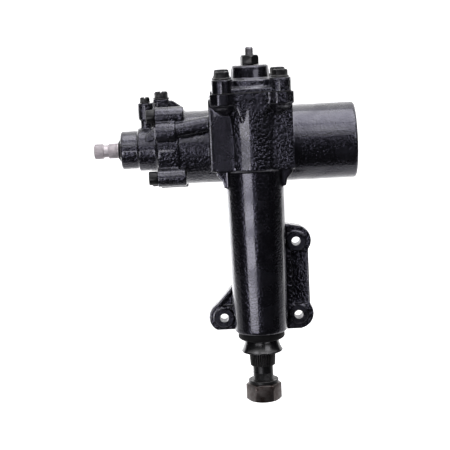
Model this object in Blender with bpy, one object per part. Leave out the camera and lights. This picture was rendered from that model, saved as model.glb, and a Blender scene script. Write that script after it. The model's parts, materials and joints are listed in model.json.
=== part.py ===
"""Power steering gearbox: a rack piston on a ball screw swings the toothed sector shaft.

Sizes are in millimetres. The origin is on the rear mounting face, straight behind the sector
shaft and level with the two lower mounting holes. +Z runs up the sector shaft, +X towards the
closed end of the piston cylinder, and +Y out of the mounting face.
"""

import math

import bmesh
import bpy
from mathutils import Matrix, Vector

MM = 0.001
GAP = 0.3                       # clearance between neighbouring pieces
MERGE = 0.002                   # points this close are one point

# How finely round shapes are divided
CAST_STEPS = 48
BORE_STEPS = 28
ROUND_STEPS = 18
HOLE_STEPS = 12
SMALL_STEPS = 8
HELIX_STEPS = 16

# Layout
SECTOR_SETBACK = 36.0           # sector axis to the mounting face
PISTON_LEVEL = 200.0            # piston axis above the lower mounting holes

# Gear mesh
TOOTH_MODULE = 5.0
TEETH_IN_FULL_GEAR = 13
SECTOR_TEETH = 5
PRESSURE_ANGLE = math.radians(25.0)
ADDENDUM = 4.0
TOOTH_ROOM = 0.8                # room between a tooth's tip and the root across from it
RACK_DEPTH = 23.5               # piston axis to the rack's pitch plane
GEAR_BOTTOM = 185.0
GEAR_TOP = 226.0
GEAR_HUB_WALL = 4.5             # outside the shaft

# Cylinder and piston
BORE_RADIUS = 38.0
BORE_END = 112.0
CYLINDER_RIGHT_WALL = 7.0
CYLINDER_END_WALL = 10.0
CYLINDER_LEFT_WALL = 5.0
CYLINDER_EDGE_ROUND = 3.0
JOINT_FACE = -96.0              # where the valve housing is bolted on
HOUSING_FLANGE_THICKNESS = 9.0
PISTON_LEFT = -56.0
PISTON_RIGHT = 78.0
RING_GROOVE_CENTRE = 66.0
RING_WIDTH = 3.0
RING_DEPTH = 3.2
RACK_FLAT_END = 50.0
NUT_BORE_RADIUS = 14.8
REAR_BORE_RADIUS = 19.0
NUT_BORE_END = 12.0
END_PLUG_LENGTH = 12.0

# Ball screw
SCREW_LEAD = 12.7
BALL_RADIUS = 2.75
BALL_CIRCLE = 14.0
BALL_COUNT = 8
GROOVE_ROOM = 0.7
CIRCUIT_LEFT = -34.0
CIRCUIT_RIGHT = -2.0
WORM_RADIUS = 13.2
WORM_THREAD_LEFT = -74.0
WORM_RIGHT = 36.0
GUIDE_TUBE_RADIUS = 4.0
GUIDE_LEVEL = 29.0              # return tube's centre behind the piston axis
GUIDE_FLAT = 24.0
CLAMP_THICKNESS = 2.0
CLAMP_WIDTH = 14.0
CLAMP_OVERHANG = 15.0           # past each leg of the return tube
CLAMP_SCREW_SPOT = 10.0         # screw centre past the leg
CLAMP_SCREW_RADIUS = 1.9
CLAMP_SCREW_LENGTH = 8.0

# Block, tube and bottom end
BLOCK_WALL = 8.4                # chamber to the sides of the block
BLOCK_FRONT = 28.5              # front face in front of the sector axis
BLOCK_BACK = 48.0
BLOCK_BOTTOM = 178.0
BLOCK_TOP = 266.0
FLANGE_FRONT = 39.0
BULGE_STEP = 2.5                # the tube's bulge on the block stands out this much
BULGE_HEIGHT = 34.0
BULGE_TOP_HALF_WIDTH = 22.0
BULGE_LOW_HALF_WIDTH = 12.0
RIB_DROP = 22.0                 # gusset ribs under the block
RIB_INSET = 9.5
TUBE_TOP_RADIUS = 33.5
TUBE_BOTTOM_RADIUS = 31.0
TUBE_BOTTOM = -13.0
BEARING_WALL = 3.8              # between the shaft and the tube's bore
SHOULDER_DROP = 12.0            # gear's lower face down to the tube's shoulder
TUBE_TAPER_GAP = 20.0           # the taper ends this far under the block
TUBE_TOP_GAP = 10.0             # the tube's bulge ends this far under the block's top
CHAMBER_ROOM = 0.6
CHAMBER_FRONT_ROOM = 6.0        # outside the gear's hub
CHAMBER_ANGLE = math.radians(112.0)

# Mounting ears
EAR_THICKNESS = 17.0
PLATE_THICKNESS = 12.0
EAR_HOLE_RADIUS = 5.2
EAR_RADIUS = 18.0
PAD_RADIUS = 10.5               # faced pad round each hole
PAD_HEIGHT = 3.8
LEFT_EAR_DROP = 15.3            # the left ear's flat lower side, under its hole
RIGHT_HOLE_X = 45.5
LEFT_HOLE_X = -42.5
UPPER_HOLE_Z = 88.0
PLATE_TOP_RISE = 20.5           # above the upper hole
LEFT_ARM_TOP = 37.5
POCKET_INSET = 12.0             # hole centre to the hollow between two ears
POCKET_LEFT = 6.5               # deep side of the hollow, left of the holes
POCKET_RIGHT = 13.5
POCKET_DEPTH = 9.0
LEFT_POCKET_DEPTH = 6.0

# Cover
GASKET_THICKNESS = 0.8
COVER_BOLT_INSET = 13.0         # bolt centre to the block's side
COVER_BOLT_Y = 31.0
COVER_LOBE_RADIUS = 12.0
HOUSING_LOBE_RADIUS = 15.5
HOUSING_LOBE_HEIGHT = 13.0
COVER_PLATE_THICKNESS = 3.6
COVER_CONE_HEIGHT = 13.6
COVER_LOBE_HEIGHT = 14.6
COVER_HEIGHT = 28.6
COVER_BOSS_RADIUS = 21.3
COVER_SPIGOT = 7.0
COVER_BORE_DEPTH = 11.1         # above the cover's lower face
BUSHING_ROOM = 7.0
BOLT_RADIUS = 4.9
COVER_BOLT_REACH = 31.0
COVER_BOLT_HEAD = 8.5
COVER_BOLT_FLANGE_RADIUS = 10.0
COVER_BOLT_ACROSS = 15.0

# Sector shaft
SHAFT_RADIUS = 17.5
SHAFT_TOP_ROOM = 1.0
SLOT_LIP = 7.4                  # shaft top down to the slot's wide part
SLOT_HEAD_HEIGHT = 5.6
SLOT_HEAD_RADIUS = 9.0
SERRATION_TOP = -40.0
SERRATION_LENGTH = 14.0
SERRATION_STEP = 2.1            # below the shaft's surface
SERRATION_COUNT = 36
NECK_STEP = 5.7
NUT_TOP = -75.3
NUT_HEIGHT = 20.7
SHAFT_END_SETBACK = 1.5         # shaft end inside the nut
NUT_ACROSS = 36.0
WASHER_WIDTH = 5.7
WASHER_THICKNESS = 3.7
DUST_RING_WALL = 5.7            # outside the tube's bore
DUST_RING_HEIGHT = 9.0
BOOT_LENGTH = 14.7
BOOT_WALL = 1.9
BOOT_LIP_WIDTH = 6.5
NEEDLE_BEARING_LENGTH = 24.0
LOWER_BEARING_RISE = 21.0       # above the tube's lower end
OIL_SEAL_RISE = 10.0
OIL_SEAL_HEIGHT = 10.0
OIL_SEAL_LIP = 1.4
SEAL_WASHER_THICKNESS = 1.7
SNAP_RING_THICKNESS = 1.6
SNAP_RING_DEPTH = 2.6

# Adjuster
ADJUSTER_RADIUS = 4.8
ADJUSTER_PROUD = 9.0            # above the lock nut
LOCK_NUT_ACROSS = 19.0
LOCK_NUT_HEIGHT = 10.7

# Valve housing
VALVE_FLANGE_THICKNESS = 14.7
VALVE_FLANGE_WALL = 6.0         # outside the cylinder's bore
VALVE_STEP_WALL = 6.1           # outside the valve's bore
VALVE_STEP_LENGTH = 23.0
VALVE_NOSE_WALL = 3.1
VALVE_NOSE_LENGTH = 21.0
VALVE_BOLT_OUTSIDE = 6.5        # bolt centre outside the round flange
VALVE_BOLT_START = math.radians(126.5)
VALVE_LOBE_RADIUS = 10.5
VALVE_LOBE_LENGTH = 18.0        # on the housing's side of the joint
VALVE_LOBE_PROUD = 0.6
VALVE_BOLT_HEAD_RADIUS = 8.0
VALVE_BOLT_HEAD = 10.0
VALVE_BOLT_SOCKET = 8.0
VALVE_BOLT_REACH = 30.0
VALVE_BORE_RADIUS = 19.4
NOSE_BORE_LENGTH = 17.0         # seal and needle bearing
SEAL_SEAT_LENGTH = 6.0
BEARING_DEPTH = 11.8            # journal to the seat in the casting
BEARING_LENGTH = 11.0
BEARING_SETBACK = 0.7
BEARING_BORE = 14.0
RACE_THICKNESS = 4.0
RETAINER_LIP = 3.2
SPIGOT_LENGTH = 5.0
SEAL_SECTION = 1.2
INPUT_BEARING_WALL = 3.6        # outside the input shaft
INPUT_SEAL_WALL = 5.3
CAP_HEIGHT = 3.2
CAP_LIP = 4.2
WEB_TOP = 33.0                  # web beside the ports, above the piston's level
WEB_FOOT = 12.0
WEB_LENGTH = 13.0
WEB_OFFSET = 20.0
WEB_THICKNESS = 8.0
GALLERY_RADIUS = 10.0
GALLERY_LOBE_WALL = 3.0
GALLERY_LOBE_SETBACK = 2.0
GALLERY_BORE = 3.0
GALLERY_Y = -15.0
GALLERY_BORE_Y = -18.0
GALLERY_JOINT_Z = 222.0         # the oil gallery rises from the joint to the block
GALLERY_BLOCK_Z = 229.5

# Ports
RETURN_PORT_SETBACK = 8.7       # left of the joint face
RETURN_PORT_Y = 30.0
PRESSURE_PORT_SETBACK = 13.0    # left of the flange
PRESSURE_COLLAR = 19.0          # boss top down to its neck
RETURN_BOSS_ACROSS = 21.0
RETURN_BOSS_LOW = 241.0
RETURN_BOSS_TOP = 258.0
PRESSURE_BOSS_RADIUS = 8.7
PRESSURE_NECK_STEP = 2.6
PRESSURE_BOSS_TOP = 255.0
PORT_THREAD_RADIUS = 4.6
PORT_THREAD_DEPTH = 13.0
PORT_PASSAGE_RADIUS = 2.5
PLUG_HEAD = 6.5

# Input shaft and rotary valve
INPUT_RADIUS = 8.9
INPUT_REACH = 32.0              # outside the valve housing
INPUT_GROOVE_START = 11.0
INPUT_GROOVE_WIDTH = 6.0
INPUT_GROOVE_RADIUS = 7.2
INPUT_NECK_LENGTH = 5.0
INPUT_SERRATION_COUNT = 36
INPUT_SERRATION_DEPTH = 0.5
ROTOR_STEP = 3.0                # outside the input shaft
ROTOR_SETBACK = 1.5
SLEEVE_END_ROOM = 1.0
SLEEVE_BEARING_ROOM = 1.5
SLEEVE_RING_PROUD = 0.2
RING_COUNT = 3
SLEEVE_RING_WIDTH = 2.0
SLEEVE_GROOVE_DEPTH = 1.8
SLEEVE_OIL_GROOVE = 3.4
TORSION_BAR_RADIUS = 3.0
TORSION_REACH = 11.0            # outside the valve housing
TORSION_END_GAP = 18.0          # short of the worm's end
TORSION_HEAD_LENGTH = 26.0
TORSION_FOOT_LENGTH = 14.0
TORSION_TAPER = 6.0
PIN_RADIUS = 1.6

SECTOR_Y = -SECTOR_SETBACK
PITCH_RADIUS = TOOTH_MODULE * TEETH_IN_FULL_GEAR / 2
PISTON_Y = SECTOR_Y + PITCH_RADIUS + RACK_DEPTH
TIP_RADIUS = PITCH_RADIUS + ADDENDUM
ROOT_RADIUS = PITCH_RADIUS - ADDENDUM - TOOTH_ROOM
TOOTH_PITCH = math.pi * TOOTH_MODULE
FLANK_ROOM = GAP / 2 / math.cos(PRESSURE_ANGLE)
PISTON_RADIUS = BORE_RADIUS - GAP
RACK_TIP_Y = PISTON_Y - RACK_DEPTH - ADDENDUM
RACK_ROOT_Y = PISTON_Y - RACK_DEPTH + ADDENDUM + TOOTH_ROOM
CHAMBER_RADIUS = TIP_RADIUS + CHAMBER_ROOM
GEAR_HUB_RADIUS = SHAFT_RADIUS + GEAR_HUB_WALL
CHAMBER_FRONT_RADIUS = GEAR_HUB_RADIUS + CHAMBER_FRONT_ROOM
TUBE_BORE_RADIUS = SHAFT_RADIUS + BEARING_WALL
BLOCK_HALF_WIDTH = CHAMBER_RADIUS + BLOCK_WALL
CYLINDER_RIGHT_RADIUS = BORE_RADIUS + CYLINDER_RIGHT_WALL
CYLINDER_RIGHT_END = BORE_END + CYLINDER_END_WALL
CYLINDER_LEFT_RADIUS = BORE_RADIUS + CYLINDER_LEFT_WALL
CHAMBER_FLOOR = GEAR_BOTTOM - 2 * GAP
TUBE_SHOULDER = GEAR_BOTTOM - SHOULDER_DROP
GASKET_BOTTOM = BLOCK_TOP + GAP
COVER_BOTTOM = GASKET_BOTTOM + GASKET_THICKNESS + GAP
COVER_PLATE_TOP = COVER_BOTTOM + COVER_PLATE_THICKNESS
COVER_CONE_TOP = COVER_BOTTOM + COVER_CONE_HEIGHT
COVER_LOBE_TOP = COVER_BOTTOM + COVER_LOBE_HEIGHT
COVER_TOP = COVER_BOTTOM + COVER_HEIGHT
COVER_BORE_TOP = COVER_BOTTOM + COVER_BORE_DEPTH
COVER_BOLT_X = BLOCK_HALF_WIDTH - COVER_BOLT_INSET
ADJUSTER_TOP = COVER_TOP + GAP + LOCK_NUT_HEIGHT + ADJUSTER_PROUD

SERRATION_RADIUS = SHAFT_RADIUS - SERRATION_STEP
NECK_RADIUS = SHAFT_RADIUS - NECK_STEP
DUST_RING_RADIUS = TUBE_BORE_RADIUS + DUST_RING_WALL
WASHER_RADIUS = NECK_RADIUS + WASHER_WIDTH
BOOT_TOP_RADIUS = SHAFT_RADIUS + BOOT_WALL
BOOT_LIP_RADIUS = SHAFT_RADIUS + BOOT_LIP_WIDTH
SHAFT_TOP = COVER_BORE_TOP - SHAFT_TOP_ROOM
SLOT_HEAD_HIGH = SHAFT_TOP - SLOT_LIP
SLOT_HEAD_LOW = SLOT_HEAD_HIGH - SLOT_HEAD_HEIGHT
SERRATION_BOTTOM = SERRATION_TOP - SERRATION_LENGTH
NUT_BOTTOM = NUT_TOP - NUT_HEIGHT
SHAFT_END = NUT_BOTTOM + SHAFT_END_SETBACK
DUST_RING_BOTTOM = TUBE_BOTTOM - DUST_RING_HEIGHT
BOOT_TOP = DUST_RING_BOTTOM - GAP
BOOT_LIP = BOOT_TOP - BOOT_LENGTH

VALVE_FLANGE_RADIUS = BORE_RADIUS + VALVE_FLANGE_WALL
VALVE_STEP_RADIUS = VALVE_BORE_RADIUS + VALVE_STEP_WALL
VALVE_NOSE_RADIUS = VALVE_BORE_RADIUS + VALVE_NOSE_WALL
INPUT_BEARING_RADIUS = INPUT_RADIUS + INPUT_BEARING_WALL
INPUT_SEAL_RADIUS = INPUT_RADIUS + INPUT_SEAL_WALL
ROTOR_RADIUS = INPUT_RADIUS + ROTOR_STEP
VALVE_FACE = JOINT_FACE - GAP
VALVE_FLANGE_FACE = VALVE_FACE - VALVE_FLANGE_THICKNESS
VALVE_STEP_END = VALVE_FLANGE_FACE - VALVE_STEP_LENGTH
VALVE_NOSE_END = VALVE_STEP_END - VALVE_NOSE_LENGTH
VALVE_LOBE_END = JOINT_FACE + VALVE_LOBE_LENGTH
VALVE_BOLT_CIRCLE = VALVE_FLANGE_RADIUS + VALVE_BOLT_OUTSIDE
BEARING_SEAT_RADIUS = BEARING_BORE + BEARING_DEPTH
VALVE_BORE_LEFT = VALVE_NOSE_END + NOSE_BORE_LENGTH
BEARING_RIGHT = VALVE_FACE - BEARING_SETBACK
BEARING_LEFT = BEARING_RIGHT - BEARING_LENGTH
SLEEVE_LEFT = VALVE_BORE_LEFT + SLEEVE_END_ROOM
SLEEVE_RIGHT = BEARING_LEFT - SLEEVE_BEARING_ROOM
SLEEVE_RING_RADIUS = VALVE_BORE_RADIUS - GAP
SLEEVE_RADIUS = SLEEVE_RING_RADIUS - SLEEVE_RING_PROUD
ROTOR_RIGHT = SLEEVE_RIGHT - ROTOR_SETBACK
INPUT_END = VALVE_NOSE_END - INPUT_REACH
INPUT_GROOVE_LEFT = INPUT_END + INPUT_GROOVE_START
INPUT_GROOVE_RIGHT = INPUT_GROOVE_LEFT + INPUT_GROOVE_WIDTH
INPUT_SERRATION_RIGHT = VALVE_NOSE_END - INPUT_NECK_LENGTH
TORSION_LEFT = VALVE_NOSE_END - TORSION_REACH
TORSION_RIGHT = WORM_RIGHT - TORSION_END_GAP
RETURN_PORT = (VALVE_FACE - RETURN_PORT_SETBACK, RETURN_PORT_Y)
PRESSURE_PORT = (VALVE_FLANGE_FACE - PRESSURE_PORT_SETBACK, PISTON_Y)
GROOVE_RADIUS = BALL_RADIUS + GROOVE_ROOM

SECTOR_ORIGIN = (0.0, SECTOR_Y, PISTON_LEVEL)
PISTON_ORIGIN = (0.0, PISTON_Y, PISTON_LEVEL)
SECTOR_AXIS = (0.0, SECTOR_Y, 0.0)
PISTON_AXIS = (0.0, PISTON_Y, PISTON_LEVEL)

COVER_BOLTS = [(sx * COVER_BOLT_X, SECTOR_Y + sy * COVER_BOLT_Y)
               for sx in (-1, 1) for sy in (-1, 1)]
VALVE_BOLTS = [(PISTON_Y + VALVE_BOLT_CIRCLE * math.cos(VALVE_BOLT_START + k * math.pi / 2),
                PISTON_LEVEL + VALVE_BOLT_CIRCLE * math.sin(VALVE_BOLT_START + k * math.pi / 2))
               for k in range(4)]
EAR_HOLES = [(RIGHT_HOLE_X, UPPER_HOLE_Z), (RIGHT_HOLE_X, 0.0), (LEFT_HOLE_X, 0.0)]

CASTINGS = ("gear_housing", "sector_cover", "valve_housing")

TURN_TO = {
    "X": Matrix.Rotation(math.pi / 2, 4, "Y"),
    "Y": Matrix.Rotation(-math.pi / 2, 4, "X"),
    "Z": Matrix.Identity(4),
}


def clear_scene():
    for obj in list(bpy.data.objects):
        bpy.data.objects.remove(obj, do_unlink=True)


def look(name, colour, roughness, metallic):
    material = bpy.data.materials.new(name)
    material.use_nodes = True
    shader = material.node_tree.nodes["Principled BSDF"]
    shader.inputs["Base Color"].default_value = (*colour, 1.0)
    shader.inputs["Roughness"].default_value = roughness
    shader.inputs["Metallic"].default_value = metallic
    return material


def turned(profile, axis="Z", centre=(0.0, 0.0, 0.0), steps=ROUND_STEPS):
    """A round shape from (place along the axis, radius) pairs. A profile that starts and ends
    on the axis gives a solid, and any other profile is closed into a ring."""
    shape = bmesh.new()
    corners = [shape.verts.new((radius, 0.0, along)) for along, radius in profile]
    solid = profile[0][1] == 0.0 and profile[-1][1] == 0.0
    pairs = list(zip(corners, corners[1:]))
    if not solid:
        pairs.append((corners[-1], corners[0]))
    edges = [shape.edges.new(pair) for pair in pairs]
    bmesh.ops.spin(shape, geom=corners + edges, cent=(0, 0, 0), axis=(0, 0, 1),
                   angle=2 * math.pi, steps=steps, use_merge=True)
    bmesh.ops.remove_doubles(shape, verts=shape.verts, dist=MERGE)
    bmesh.ops.transform(shape, matrix=TURN_TO[axis], verts=shape.verts)
    shift = Vector(centre)
    shift["XYZ".index(axis)] = 0.0
    bmesh.ops.translate(shape, vec=shift, verts=shape.verts)
    return shape


def rod(radius, low, high, axis="Z", centre=(0.0, 0.0, 0.0), steps=ROUND_STEPS, edge=0.0):
    """A plain cylinder, with both end edges cut back by edge."""
    if edge:
        side = [(low, radius - edge), (low + edge, radius), (high - edge, radius), (high, radius - edge)]
    else:
        side = [(low, radius), (high, radius)]
    return turned([(low, 0.0)] + side + [(high, 0.0)], axis, centre, steps)


def tube(outer, inner, low, high, axis="Z", centre=(0.0, 0.0, 0.0), steps=ROUND_STEPS, edge=0.0):
    """A plain ring, with its outer edges cut back by edge."""
    if edge:
        outside = [(low, outer - edge), (low + edge, outer), (high - edge, outer),
                   (high, outer - edge)]
    else:
        outside = [(low, outer), (high, outer)]
    return turned([(low, inner)] + outside + [(high, inner)], axis, centre, steps)


def tube_between(outside, inner, centre, steps):
    """A ring about Z with a given outer profile and a straight bore."""
    low, high = outside[0][0], outside[-1][0]
    return turned([(low, inner)] + outside + [(high, inner)], "Z", centre, steps)


def sloped_rod(radius, start, end, steps):
    """A cylinder between two points."""
    way = Vector(end) - Vector(start)
    shape = rod(radius, 0.0, way.length, "Z", (0.0, 0.0, 0.0), steps)
    turn = way.to_track_quat("Z", "Y").to_matrix().to_4x4()
    bmesh.ops.transform(shape, matrix=turn, verts=shape.verts)
    bmesh.ops.translate(shape, vec=start, verts=shape.verts)
    return shape


def prism(outline, low, high, axis="Z", taper=1.0, middle=(0.0, 0.0)):
    """An outline drawn square to the axis and extruded from low to high. The outline's pairs are
    (x, y) for Z, (x, z) for Y and (y, z) for X. The far end is scaled about middle by taper."""
    def spot(a, b, along):
        return {"Z": (a, b, along), "Y": (a, along, b), "X": (along, a, b)}[axis]
    shape = bmesh.new()
    near = shape.faces.new([shape.verts.new(spot(a, b, low)) for a, b in outline])
    far = bmesh.ops.extrude_face_region(shape, geom=[near])["geom"]
    for vert in (item for item in far if isinstance(item, bmesh.types.BMVert)):
        keep = {"Z": (vert.co.x, vert.co.y), "Y": (vert.co.x, vert.co.z),
                "X": (vert.co.y, vert.co.z)}[axis]
        a = middle[0] + (keep[0] - middle[0]) * taper
        b = middle[1] + (keep[1] - middle[1]) * taper
        vert.co = spot(a, b, high)
    bmesh.ops.recalc_face_normals(shape, faces=shape.faces)
    return shape


def box(low, high):
    (x0, y0, z0), (x1, y1, z1) = low, high
    return prism([(x0, y0), (x1, y0), (x1, y1), (x0, y1)], z0, z1)


def slab(axis, low, high):
    """A wide flat cutter square to the axis."""
    wide = 400.0
    return prism([(-wide, -wide), (wide, -wide), (wide, wide), (-wide, wide)], low, high, axis)


def hull(points):
    shape = bmesh.new()
    for point in points:
        shape.verts.new(point)
    bmesh.ops.convex_hull(shape, input=shape.verts)
    loose = [vert for vert in shape.verts if not vert.link_faces]
    bmesh.ops.delete(shape, geom=loose, context="VERTS")
    return shape


def regular(sides, across, middle=(0.0, 0.0), turn=0.0):
    """A regular outline measured across its flats."""
    radius = across / 2 / math.cos(math.pi / sides)
    return [(middle[0] + radius * math.cos(turn + 2 * math.pi * k / sides),
             middle[1] + radius * math.sin(turn + 2 * math.pi * k / sides))
            for k in range(sides)]


def toothed(count, outer, depth, middle=(0.0, 0.0)):
    """A fine serrated outline."""
    points = []
    for k in range(count):
        for part, radius in ((0.0, outer - depth), (0.5, outer)):
            angle = 2 * math.pi * (k + part) / count
            points.append((middle[0] + radius * math.cos(angle),
                           middle[1] + radius * math.sin(angle)))
    return points


def add_object(name, shape, material=None, origin=(0.0, 0.0, 0.0)):
    """Puts the shape in the scene as an object whose origin is where its joint is."""
    bmesh.ops.recalc_face_normals(shape, faces=shape.faces)
    bmesh.ops.translate(shape, vec=-Vector(origin), verts=shape.verts)
    bmesh.ops.scale(shape, vec=(MM, MM, MM), verts=shape.verts)
    mesh = bpy.data.meshes.new(name)
    shape.to_mesh(mesh)
    shape.free()
    mesh.shade_smooth()
    mesh.set_sharp_from_angle(angle=math.radians(35))
    obj = bpy.data.objects.new(name, mesh)
    obj.location = Vector(origin) * MM
    bpy.context.scene.collection.objects.link(obj)
    if material:
        mesh.materials.append(material)
    return obj


def combine(target, shape, operation):
    """Joins a shape to the target, cuts it away, or keeps only what they share."""
    name = f"{target.name}_{operation.lower()}_{len(target.modifiers)}"
    helper = add_object(name[:58], shape)
    helper.hide_render = True
    helper.display_type = "WIRE"
    modifier = target.modifiers.new(name[:58], "BOOLEAN")
    modifier.operation = operation
    modifier.solver = "MANIFOLD" if target.name in CASTINGS else "EXACT"
    modifier.object = helper
    return helper


def join(target, *shapes):
    for shape in shapes:
        combine(target, shape, "UNION")


def cut(target, *shapes):
    for shape in shapes:
        combine(target, shape, "DIFFERENCE")


def helix(radius, left, right, thickness, phase, flip=1.0):
    """A helical tube about the piston axis, as a mesh shape."""
    curve = bpy.data.curves.new("helix_path", "CURVE")
    curve.dimensions = "3D"
    curve.bevel_depth = thickness * MM
    curve.bevel_resolution = 1
    curve.use_fill_caps = True
    turns = (right - left) / SCREW_LEAD
    count = int(turns * HELIX_STEPS) + 1
    spline = curve.splines.new("POLY")
    spline.points.add(count - 1)
    for k, point in enumerate(spline.points):
        along = left + (right - left) * k / (count - 1)
        angle = phase + flip * 2 * math.pi * along / SCREW_LEAD
        point.co = (along * MM, (PISTON_Y + radius * math.cos(angle)) * MM,
                    (PISTON_LEVEL + radius * math.sin(angle)) * MM, 1.0)
    carrier = bpy.data.objects.new("helix_carrier", curve)
    bpy.context.scene.collection.objects.link(carrier)
    bpy.context.view_layer.update()
    mesh = bpy.data.meshes.new_from_object(carrier)
    shape = bmesh.new()
    shape.from_mesh(mesh)
    bmesh.ops.scale(shape, vec=(1 / MM, 1 / MM, 1 / MM), verts=shape.verts)
    bmesh.ops.remove_doubles(shape, verts=shape.verts, dist=MERGE)
    bpy.data.objects.remove(carrier, do_unlink=True)
    bpy.data.meshes.remove(mesh)
    return shape


def chamber_outline(radius, front_radius, room=0.0):
    """The sector chamber seen from above: wide where the teeth swing, narrow at the front."""
    points = []
    wide = 20
    for k in range(wide + 1):
        angle = -CHAMBER_ANGLE + 2 * CHAMBER_ANGLE * k / wide
        points.append(((radius - room) * math.sin(angle),
                       SECTOR_Y + (radius - room) * math.cos(angle)))
    narrow = 8
    for k in range(narrow + 1):
        angle = CHAMBER_ANGLE + (2 * math.pi - 2 * CHAMBER_ANGLE) * k / narrow
        points.append(((front_radius - room) * math.sin(angle),
                       SECTOR_Y + (front_radius - room) * math.cos(angle)))
    return points


def flange_outline(front, side, corner):
    """The cover's plate and the housing's top flange share this eight-sided outline."""
    left, right = -side, side
    near, far = SECTOR_Y - front, SECTOR_Y + front
    return [(left + corner, near), (right - corner, near), (right, near + corner),
            (right, far - corner), (right - corner, far), (left + corner, far),
            (left, far - corner), (left, near + corner)]


def gallery_at(x, y):
    """A point on the oil gallery's slope."""
    share = (x - JOINT_FACE) / (-BLOCK_HALF_WIDTH - JOINT_FACE)
    return x, y, GALLERY_JOINT_Z + share * (GALLERY_BLOCK_Z - GALLERY_JOINT_Z)


def housing_flange_shapes():
    """What stands on the cylinder's left flange: bolt bosses, the oil gallery and a lug."""
    back = JOINT_FACE + HOUSING_FLANGE_THICKNESS
    shapes = []
    for y, z in VALVE_BOLTS:
        shapes.append(rod(VALVE_LOBE_RADIUS, JOINT_FACE - 3.0, VALVE_LOBE_END, "X", (0, y, z),
                          ROUND_STEPS, 1.5))
    lobe_end = back - GALLERY_LOBE_SETBACK
    shapes.append(rod(GALLERY_RADIUS + GALLERY_LOBE_WALL, JOINT_FACE - 4.0, lobe_end, "X",
                      (0, GALLERY_Y, GALLERY_JOINT_Z), ROUND_STEPS, 1.0))
    shapes.append(sloped_rod(GALLERY_RADIUS, gallery_at(JOINT_FACE + 2.0, GALLERY_Y),
                             gallery_at(-BLOCK_HALF_WIDTH + 4.0, GALLERY_Y), ROUND_STEPS))
    foot = PISTON_LEVEL + CYLINDER_LEFT_RADIUS - 3.0
    lug = [(JOINT_FACE - 2, foot), (JOINT_FACE - 2, RETURN_BOSS_TOP - 2),
           (JOINT_FACE + 4, RETURN_BOSS_TOP - 2), (JOINT_FACE + 14, RETURN_BOSS_TOP - 9),
           (JOINT_FACE + VALVE_LOBE_LENGTH + 2, foot)]
    shapes.append(prism(lug, RETURN_PORT[1] - 6, RETURN_PORT[1] + 6, "Y"))
    return shapes


def ear_shapes():
    """Three mounting ears on one plate, with its rear face at the origin."""
    low = -EAR_RADIUS + GAP
    waist = RIGHT_HOLE_X + EAR_RADIUS - 4.0
    top = UPPER_HOLE_Z + PLATE_TOP_RISE
    right = [(0, low), (RIGHT_HOLE_X, low), (waist, 12), (waist, UPPER_HOLE_Z - 12),
             (RIGHT_HOLE_X + 6, top - 3.5), (RIGHT_HOLE_X - 12, top), (0, top)]
    left = [(0, low + 2), (LEFT_HOLE_X - 7, low + 2), (LEFT_HOLE_X - EAR_RADIUS + 2, -6),
            (LEFT_HOLE_X - EAR_RADIUS + 3.5, 9), (-TUBE_BOTTOM_RADIUS, LEFT_ARM_TOP), (0, LEFT_ARM_TOP)]
    back = [(-TUBE_BOTTOM_RADIUS + 2, low + 2), (5, low + 2), (5, top), (-TUBE_BOTTOM_RADIUS + 2, top)]
    shapes = [prism(right, -EAR_THICKNESS, 1, "Y"), prism(left, -EAR_THICKNESS, 2, "Y"),
              prism(back, -PLATE_THICKNESS, 3, "Y")]
    for x, z in EAR_HOLES:
        shapes.append(rod(EAR_RADIUS, -EAR_THICKNESS, 4, "Y", (x, 0, z), ROUND_STEPS))
        shapes.append(rod(PAD_RADIUS, -EAR_THICKNESS - PAD_HEIGHT, 0, "Y", (x, 0, z), ROUND_STEPS))
    return shapes


def block_shapes():
    """The block round the sector gear, its top flange and the four bolt bosses."""
    near, far = SECTOR_Y - BLOCK_FRONT, SECTOR_Y + BLOCK_BACK
    side = BLOCK_HALF_WIDTH
    plan = [(-side, near + 3.5), (-side + 3.5, near), (side - 3.5, near), (side, near + 3.5),
            (side, far), (-side, far)]
    shapes = [prism(plan, BLOCK_BOTTOM, BLOCK_TOP - 4.0)]
    shapes.append(rod(TUBE_TOP_RADIUS + BULGE_STEP, BLOCK_BOTTOM, BLOCK_TOP - TUBE_TOP_GAP, "Z",
                      SECTOR_AXIS, CAST_STEPS, 1.0))
    shapes.append(prism(flange_outline(FLANGE_FRONT, side - 1.0, 12.0),
                        BLOCK_TOP - 8.0, BLOCK_TOP + 1.0))
    for x, y in COVER_BOLTS:
        lobe = regular(8, 2 * HOUSING_LOBE_RADIUS * math.cos(math.pi / 8), (x, y), math.pi / 8)
        low = BLOCK_TOP - HOUSING_LOBE_HEIGHT
        shapes.append(prism(lobe, low, BLOCK_TOP + 2.0))
        inward = (x * 0.8, SECTOR_Y + (y - SECTOR_Y) * 0.75)
        shapes.append(prism(lobe, low + 1.0, low - 12.0, "Z", 0.3, inward))
    flare = []
    for x in (-BULGE_TOP_HALF_WIDTH, BULGE_TOP_HALF_WIDTH):
        flare += [(x, SECTOR_Y - FLANGE_FRONT, BLOCK_TOP - 1.0), (x, SECTOR_Y, BLOCK_TOP - 1.0)]
    low = BLOCK_TOP - BULGE_HEIGHT
    for x in (-BULGE_LOW_HALF_WIDTH, BULGE_LOW_HALF_WIDTH):
        flare += [(x, SECTOR_Y - TUBE_TOP_RADIUS + 2.5, low), (x, SECTOR_Y, low)]
    shapes.append(hull(flare))
    inner, low = TUBE_TOP_RADIUS - RIB_INSET, BLOCK_BOTTOM - RIB_DROP
    for side_sign in (-1, 1):
        web = [(side_sign * x, z) for x, z in
               ((inner, BLOCK_BOTTOM + 2), (side - 1.5, BLOCK_BOTTOM + 2), (side - 2.0, BLOCK_BOTTOM - 5),
                (side - 8.5, low + 10), (side - 10.0, low + 2), (inner, low))]
        shapes.append(prism(web, SECTOR_Y - 14, SECTOR_Y + 2, "Y"))
    return shapes


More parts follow.
